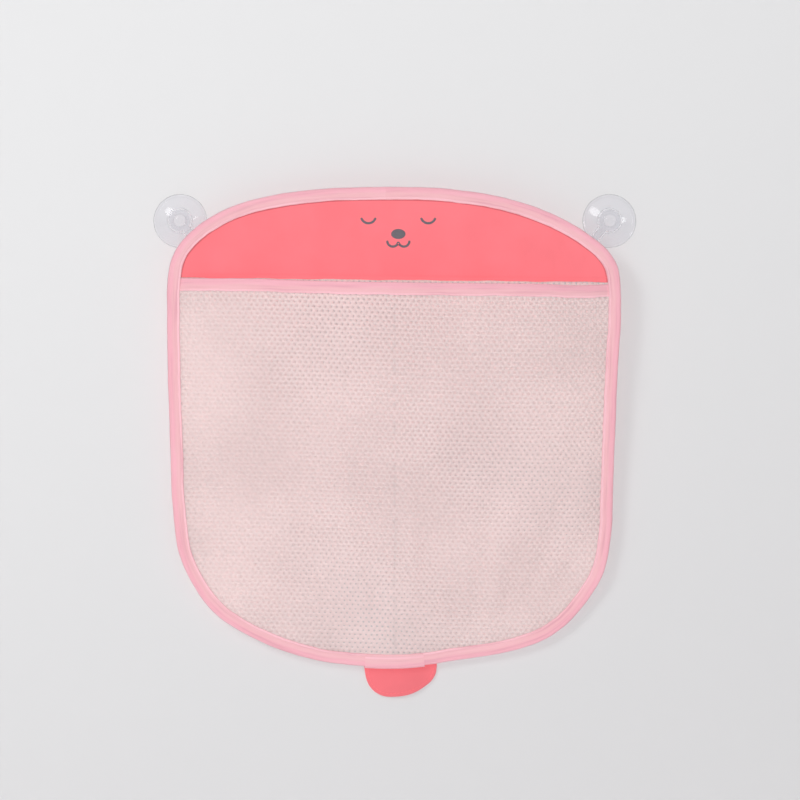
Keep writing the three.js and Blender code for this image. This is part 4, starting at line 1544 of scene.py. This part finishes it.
class ORGANIZER_OT_print(bpy.types.Operator):
    """Print the plain face on the head panel"""

    bl_idname = "organizer.print"
    bl_label = "Printed Face"

    def execute(self, context):
        top = sizes().bag_top
        middle, line = 3 * MM, 1.9 * MM
        shapes = {}
        for side, word in ((-1, "left"), (1, "right")):
            arc = hanging_arc(middle + side * 25 * MM, top - 23.8 * MM, 6.2 * MM, 66)
            shapes[f"print_{word}_eye"] = [ink_line(arc, line)]
        turn = np.linspace(0, 2 * math.pi, 40, endpoint=False)
        nose = (middle + 6 * MM * np.cos(turn), top - 39 * MM + 4.2 * MM * np.sin(turn))
        shapes["print_nose"] = [np.column_stack(nose)]
        lips = [
            hanging_arc(middle + side * 4.6 * MM, top - 44.9 * MM, 4.6 * MM, 84)
            for side in (-1, 1)
        ]
        joined = np.vstack([lips[0][:-1], lips[1][1:]])
        shapes["print_mouth"] = [ink_line(joined, line)]
        for node, outlines in shapes.items():
            ink = printed("ink_" + node[6:], outlines)
            dressed(ink, "ink", node)
            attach(ink, "bag")
        return {"FINISHED"}


class ORGANIZER_OT_back_net(bpy.types.Operator):
    """Knit the pocket's back"""

    bl_idname = "organizer.back_net"
    bl_label = "Back Net"

    def execute(self, context):
        surface = net_surface(
            "back_web", lambda x, z: BACK_NET_Y - drape(x, z), 2.2 * MM,
            lambda x: hem_level(x) + 6 * MM, 1.1, 0.0,
        )
        web = thickened(web_on(surface), sizes().net_thickness)
        dressed(web, "net", "back_net")
        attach(web, "bag")
        return {"FINISHED"}


class ORGANIZER_OT_pocket_front(bpy.types.Operator):
    """Knit the pocket's slack front"""

    bl_idname = "organizer.pocket_front"
    bl_label = "Pocket Front"

    def execute(self, context):
        surface = net_surface(
            "front_web", pocket_y, 2.6 * MM, lambda x: mouth_level(x) - 0.9 * MM, 1.6, 0.7
        )
        web = thickened(web_on(surface), sizes().net_thickness)
        for side, word in ((-1, "left"), (1, "right")):
            half = half_of(web, side, "front_web_" + word)
            if side < 0:
                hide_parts("pocket_front_net")
            blended(half)
        discard(web)
        return {"FINISHED"}


class ORGANIZER_OT_edge_tape(bpy.types.Operator):
    """Fold the tape over the bag's edge and sew it"""

    bl_idname = "organizer.edge_tape"
    bl_label = "Edge Tape"

    def execute(self, context):
        tape, rings, layer = edge_tape()
        dressed(tape, "tape", "edge_binding")
        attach(tape, "bag")
        lap = tape_lap()[0]
        dressed(lap, "tape")
        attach(lap, "bag")
        # The seams close round the bag
        rings = np.concatenate([rings, rings[:1]])
        stitches = sewn_rows("edge_stitches", tape_seams(rings, layer))
        dressed(stitches, "tape")
        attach(stitches, "bag")
        return {"FINISHED"}


class ORGANIZER_OT_mouth_tape(bpy.types.Operator):
    """Fold the tape over the pocket's mouth and sew it"""

    bl_idname = "organizer.mouth_tape"
    bl_label = "Mouth Tape"

    def execute(self, context):
        whole, rings, layer = mouth_tape()
        x = rings[:, 0, 0]
        inner = outline().depth(x, rings[:, 0, 2]) > 11 * MM
        for side, word in ((-1, "left"), (1, "right")):
            tape = half_of(whole, side, "mouth_tape_" + word)
            if side < 0:
                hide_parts("mouth_binding")
            blended(tape)
            sewn = rings[inner & (side * x > 1 * MM)]
            stitches = sewn_rows("mouth_stitches_" + word, tape_seams(sewn, layer))
            blended(stitches)
        discard(whole)
        return {"FINISHED"}


class ORGANIZER_OT_hem_stitches(bpy.types.Operator):
    """Sew the head panel's hem to the back net"""

    bl_idname = "organizer.hem_stitches"
    bl_label = "Hem Stitches"

    def execute(self, context):
        size = sizes()
        left, right = outline().sides(size.tape_width + 1 * MM, hem_level(np.zeros(1)))
        x = np.linspace(left[0], right[0], 160)
        z = hem_level(x) + 3.4 * MM
        front = panel_y(x, z) - size.cloth_thickness / 2 - STITCH_LIFT
        back = BACK_NET_Y - drape(x, z) + size.net_thickness / 2 + STITCH_LIFT
        lines = [leaning(np.column_stack([x, y, z])) for y in (front, back)]
        row = repainted(sewn_rows("hem_stitches", lines), coral_cloth())
        dressed(row, "coral_cloth")
        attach(row, "bag")
        return {"FINISHED"}


def loop_route():
    """The loop from one sewn end over the hook to the other: (reach, y, across)."""
    reach = sizes().hook_reach / MM
    sewn = -23.92  # the y of the sewn ends, in millimetres as the rest of the route
    leg = [
        (reach + 16, sewn, 9), (reach + 13, sewn, 9), (reach + 10.2, sewn + 0.1, 8.9),
        (reach + 6, -20.4, 8.8), (reach + 2.6, -16.4, 8.5), (reach + 0.5, -14.3, 7.6),
        (reach - 0.35, -13.9, 5.2), (reach - 0.3, -13.85, 2),
    ]
    back = [(r, y, -a) for r, y, a in reversed(leg)]
    return np.array(leg + back) * MM


def hanging_loop(side):
    """A narrow tape, flat where it is sewn on and gathered in its hook.

    Gives the loop, the lines of its stitches and its length."""
    size = sizes()
    stations = 90
    path, length = evenly(catmull_rom(loop_route(), 12, closed=False), stations)
    way3 = np.array([hook_reach_way(side)[0], 0, hook_reach_way(side)[1]])
    out = np.array([0.0, 1.0, 0.0])
    over = np.cross(way3, out)
    centre = np.array([cup_centre(side)[0], 0, 0])
    world = centre + path[:, :1] * way3 + path[:, 1:2] * out + path[:, 2:] * over
    along = np.gradient(world, axis=0)
    along /= np.linalg.norm(along, axis=1)[:, None]
    share = np.abs(np.linspace(-1, 1, stations))
    flatness = smooth_step((share - 0.34) / 0.42)
    wide_way = np.where(path[:, 2:] > 0, 1, -1) * over * flatness[:, None]
    wide_way = wide_way + way3 * (1 - flatness)[:, None]
    wide_way -= along * (wide_way * along).sum(1)[:, None]
    wide_way /= np.linalg.norm(wide_way, axis=1)[:, None]
    thick_way = np.cross(along, wide_way)
    gathered, half_tape = 1.35 * MM, size.loop_width / 2
    width = gathered + (half_tape - gathered) * flatness
    depth = (1.25 - 0.93 * flatness) * MM
    turn = np.linspace(0, 2 * math.pi, 40, endpoint=False)
    pleat = 1 + 0.3 * (1 - flatness)[:, None] * np.cos(5 * turn + 0.6)
    power = 1 - 0.45 * flatness[:, None]
    c, s = np.cos(turn), np.sin(turn)
    a = np.sign(c) * np.abs(c) ** power * width[:, None] * pleat
    b = np.sign(s) * np.abs(s) ** power * depth[:, None] * pleat
    rings = world[:, None] + wide_way[:, None] * a[..., None] + thick_way[:, None] * b[..., None]
    loop = swept("loop", leaning(rings), binding_tape())
    # A box of stitches on each sewn end, from its first station to its last
    ends = []
    inset, lift = 0.72, out * 0.33 * MM
    for first, last in ((1, 10), (79, 88)):
        end = slice(first, last + 1)
        for edge in (inset, -inset):
            ends.append(leaning(world[end] + wide_way[end] * half_tape * edge + lift))
        for k in (first, last):
            shares = np.linspace(-inset, inset, 8)[:, None] * half_tape
            ends.append(leaning(world[k] + wide_way[k] * shares + lift))
    return loop, ends, length


class ORGANIZER_OT_loops(bpy.types.Operator):
    """Hang the two sewn loops over the hooks"""

    bl_idname = "organizer.loops"
    bl_label = "Hanging Loops"

    def execute(self, context):
        for side, word in ((-1, "left"), (1, "right")):
            loop, ends, length = hanging_loop(side)
            loop.name = word + "_loop"
            dressed(loop, "tape", word + "_hanging_loop")
            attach(loop, "bag")
            stitches = sewn_rows(word + "_loop_stitches", ends, 1.9 * MM, 1.6 * MM)
            dressed(stitches, "tape")
            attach(stitches, "bag")
        return {"FINISHED"}


class ORGANIZER_OT_tail(bpy.types.Operator):
    """Sew the coral tail behind the bottom edge"""

    bl_idname = "organizer.tail"
    bl_label = "Tail"

    def execute(self, context):
        size = sizes()
        _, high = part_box("tail")
        shares = np.array(TAIL_SHARES)
        left = size.tail_offset - size.tail_width / 2
        points = np.column_stack(
            [left + shares[:, 0] * size.tail_width, high.z - shares[:, 1] * size.tail_length]
        )
        lower = catmull_rom(np.vstack([points[1:], points[:1]]), 14, closed=False)
        bottom = lower[:, 1].argmin()
        right_side, left_side = lower[: bottom + 1], lower[bottom:]
        tab = 7.5 * MM  # sewn in above the part that shows
        v = np.concatenate([[0, 0.35, 0.7], 1 - (1 - np.linspace(0, 0.996, 46)) ** 1.5 + 1])
        shown = high.z - lower[:, 1].min()
        z = np.where(v < 1, high.z + tab * (1 - v), high.z - (v - 1) * shown)
        lx = np.interp(z, left_side[:, 1], left_side[:, 0])
        rx = np.interp(z, right_side[::-1, 1], right_side[::-1, 0])
        u = (1 - np.cos(np.linspace(0, math.pi, 45))) / 2
        gx = lx[:, None] + (rx - lx)[:, None] * u
        gz = np.tile(z[:, None], (1, len(u)))
        rim = np.vstack([right_side, left_side])
        away = np.hypot(gx[..., None] - rim[:, 0], gz[..., None] - rim[:, 1]).min(axis=2)
        above = smooth_step((gz - high.z) / (3 * MM))
        edge = np.exp(-(((away - 1.6 * MM) / (1.5 * MM)) ** 2)) * (1 - above)
        round_off = np.maximum(np.sqrt(np.clip(away / (0.7 * MM), 0.02, 1)), above)
        half = (0.42 + 0.2 * edge) * MM * round_off
        sway = 0.9 * MM * np.sin(gx * 95 + 0.5) * smooth_step((high.z - gz) / (14 * MM))
        pull = 0.16 * MM * np.sin(gx * 820) * np.exp(-(((gz - high.z) / (4 * MM)) ** 2))
        rest = TAIL_BACK - 0.5 * MM - 0.18 * MM * (1 - above)
        rest = rest - np.maximum(sway, -0.1 * MM) - abs(pull)
        back, front = rest + half, rest - half
        rings = np.concatenate(
            [np.stack([gx, front, gz], axis=2), np.stack([gx, back, gz], axis=2)[:, ::-1]], axis=1
        )
        # Painted shade: the tail's cloth is a darker coral
        tail = swept("coral_tail", rings, coral_reverse())
        dressed(tail, "coral_cloth", "tail")
        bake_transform(tail)
        way = np.array([rim[:, 0].mean(), high.z - 6 * MM]) - rim
        way /= np.linalg.norm(way, axis=1)[:, None]
        row = rim + way * 2.9 * MM
        row = row[row[:, 1] < high.z - 1.5 * MM][::2]
        nearest = [np.abs(z - point[1]).argmin() for point in row]
        y = [np.interp(point[0], gx[k], front[k]) for point, k in zip(row, nearest)]
        line = np.column_stack([row[:, 0], np.array(y) - STITCH_LIFT, row[:, 1]])
        stitches = repainted(sewn_rows("tail_stitches", [line]), coral_cloth())
        dressed(stitches, "coral_cloth")
        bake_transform(stitches)
        return {"FINISHED"}


def lamp(name, place, aim, width, power):
    """A round lamp of a width that shines at a point."""
    data = bpy.data.lights.new(name, "AREA")
    data.shape = "DISK"
    data.size = width
    data.energy = power
    light = bpy.data.objects.new(name, data)
    bpy.context.scene.collection.objects.link(light)
    light.location = place
    light.rotation_euler = (Vector(aim) - Vector(place)).to_track_quat("-Z", "Y").to_euler()
    return light


def backdrop_finish():
    """Matt pale paint with painted shade, darker to the lower right, which a camera behind it looks
    through.
    """
    material, graph, shader = new_finish("backdrop")
    place = place_of(graph)
    grain = graph.noise(place, 30, 3)
    x, _, z = graph.xyz(place)
    # Painted shade: the wall darkens towards the lower right, as light falls off from the upper left
    falloff_shade = (x * 0.4 - z * 1.15 + 0.22 + grain * 0.01).step(-0.25, 1.1)
    wall = colours().wall
    dark = [channel * share for channel, share in zip(wall, (0.84, 0.832, 0.836))]
    colour = graph.mixed(falloff_shade, rgba(wall), rgba(dark))
    graph.join(colour, shader.inputs["Base Color"])
    shader.inputs["Roughness"].default_value = 0.8
    shader.inputs["Specular IOR Level"].default_value = 0.1
    behind = graph.number("ShaderNodeNewGeometry", output="Backfacing")
    _, seen = seen_directly(graph)
    clear = graph.add("ShaderNodeBsdfTransparent")
    show_mixed(graph, behind * seen, shader, clear)
    return material


class ORGANIZER_OT_stage(bpy.types.Operator):
    """Set the wall, the floor, the lamps and the camera"""

    bl_idname = "organizer.stage"
    bl_label = "Stage"

    def execute(self, context):
        scene = context.scene
        finish = backdrop_finish()
        wide, low, near = 3.4, -0.9, -3.2
        # The wall's section down to the floor, as (y, z)
        curve = [
            (0.8 * MM, 1.9), (0.8 * MM, low + 0.35), (-0.04, low + 0.14), (-0.14, low + 0.04),
            (-0.35, low), (near, low),
        ]
        points = [(side * wide, y, z) for y, z in curve for side in (-1, 1)]
        faces = [(2 * k, 2 * k + 1, 2 * k + 3, 2 * k + 2) for k in range(len(curve) - 1)]
        faces = [face[::-1] for face in faces]
        backdrop = new_piece("backdrop", points, faces, finish)
        camera = bpy.data.cameras.new("camera")
        eye = bpy.data.objects.new("camera", camera)
        scene.collection.objects.link(eye)
        away, bag_plane, view_width = 5.0, 0.024, 0.6688
        camera.sensor_width = 36
        camera.lens = camera.sensor_width * (away - bag_plane) / view_width
        eye.location = (4.4 * MM, -away, -150.4 * MM)
        eye.rotation_euler = (math.pi / 2, 0, 0)
        scene.camera = eye
        aim = (0, 0, -0.17)
        # The front lamp shines into the net's holes along the camera's line, and doesn't glare
        front = lamp("front", (0.04, -5.3, -0.16), aim, 0.14, 178)
        front.visible_glossy = front.visible_transmission = False
        lamp("key", (-1.7, -2.2, 1.3), aim, 1.2, 19)
        glint = lamp("glint", (2.0, -2.2, 0.2), aim, 0.9, 11)
        glint.visible_diffuse = False
        world = bpy.data.worlds.new("studio")
        scene.world = world
        world.use_nodes = True
        world.node_tree.nodes.clear()
        graph = Graph(world.node_tree)
        camera_ray, seen = seen_directly(graph)
        _, _, up = graph.xyz(graph.add("ShaderNodeTexCoord").outputs["Generated"])
        soft = graph.add(
            "ShaderNodeBackground",
            None,
            {"Color": (0.98, 0.985, 1, 1), "Strength": 0.08 + up.step(-0.35, 0.5) * 0.14},
        )
        bright = camera_ray.math("MAXIMUM", up.step(-0.15, 0.35))
        pale = graph.add(
            "ShaderNodeBackground",
            None,
            {"Color": (0.9, 0.9, 0.905, 1), "Strength": 0.15 + bright * 0.75},
        )
        mix = graph.blended_shaders(seen, soft, pale)
        graph.add("ShaderNodeOutputWorld", None, {0: mix.outputs[0]})
        scene.view_settings.view_transform = "Standard"
        # Light passes many times between the net's layers and the wall
        scene.cycles.diffuse_bounces = 16
        scene.cycles.max_bounces = 24
        return {"FINISHED"}


OPERATORS = [
    ORGANIZER_OT_cups,
    ORGANIZER_OT_hooks,
    ORGANIZER_OT_edge_tape,
    ORGANIZER_OT_head_panel,
    ORGANIZER_OT_print,
    ORGANIZER_OT_back_net,
    ORGANIZER_OT_pocket_front,
    ORGANIZER_OT_mouth_tape,
    ORGANIZER_OT_hem_stitches,
    ORGANIZER_OT_loops,
    ORGANIZER_OT_tail,
    ORGANIZER_OT_stage,
]


class ORGANIZER_PT_panel(bpy.types.Panel):
    """Lists the organizer's steps, sizes and colours"""

    bl_idname = "ORGANIZER_PT_panel"
    bl_label = "Bath Toy Organizer"
    bl_space_type = "VIEW_3D"
    bl_region_type = "UI"
    bl_category = "Organizer"

    def draw(self, context):
        column = self.layout.column(align=True)
        for step in OPERATORS:
            column.operator(step.bl_idname)
        for group in (context.scene.organizer_sizes, context.scene.organizer_colours):
            box = self.layout.box()
            for name in group.__annotations__:
                box.prop(group, name)


CLASSES = [OrganizerSizes, OrganizerColours, *OPERATORS, ORGANIZER_PT_panel]


def register():
    for item in CLASSES:
        bpy.utils.register_class(item)
    bpy.types.Scene.organizer_sizes = PointerProperty(type=OrganizerSizes)
    bpy.types.Scene.organizer_colours = PointerProperty(type=OrganizerColours)


def unregister():
    del bpy.types.Scene.organizer_colours
    del bpy.types.Scene.organizer_sizes
    for item in reversed(CLASSES):
        bpy.utils.unregister_class(item)


def main():
    register()
    for step in OPERATORS:
        group, name = step.bl_idname.split(".")
        getattr(getattr(bpy.ops, group), name)()


if __name__ == "__main__":
    main()
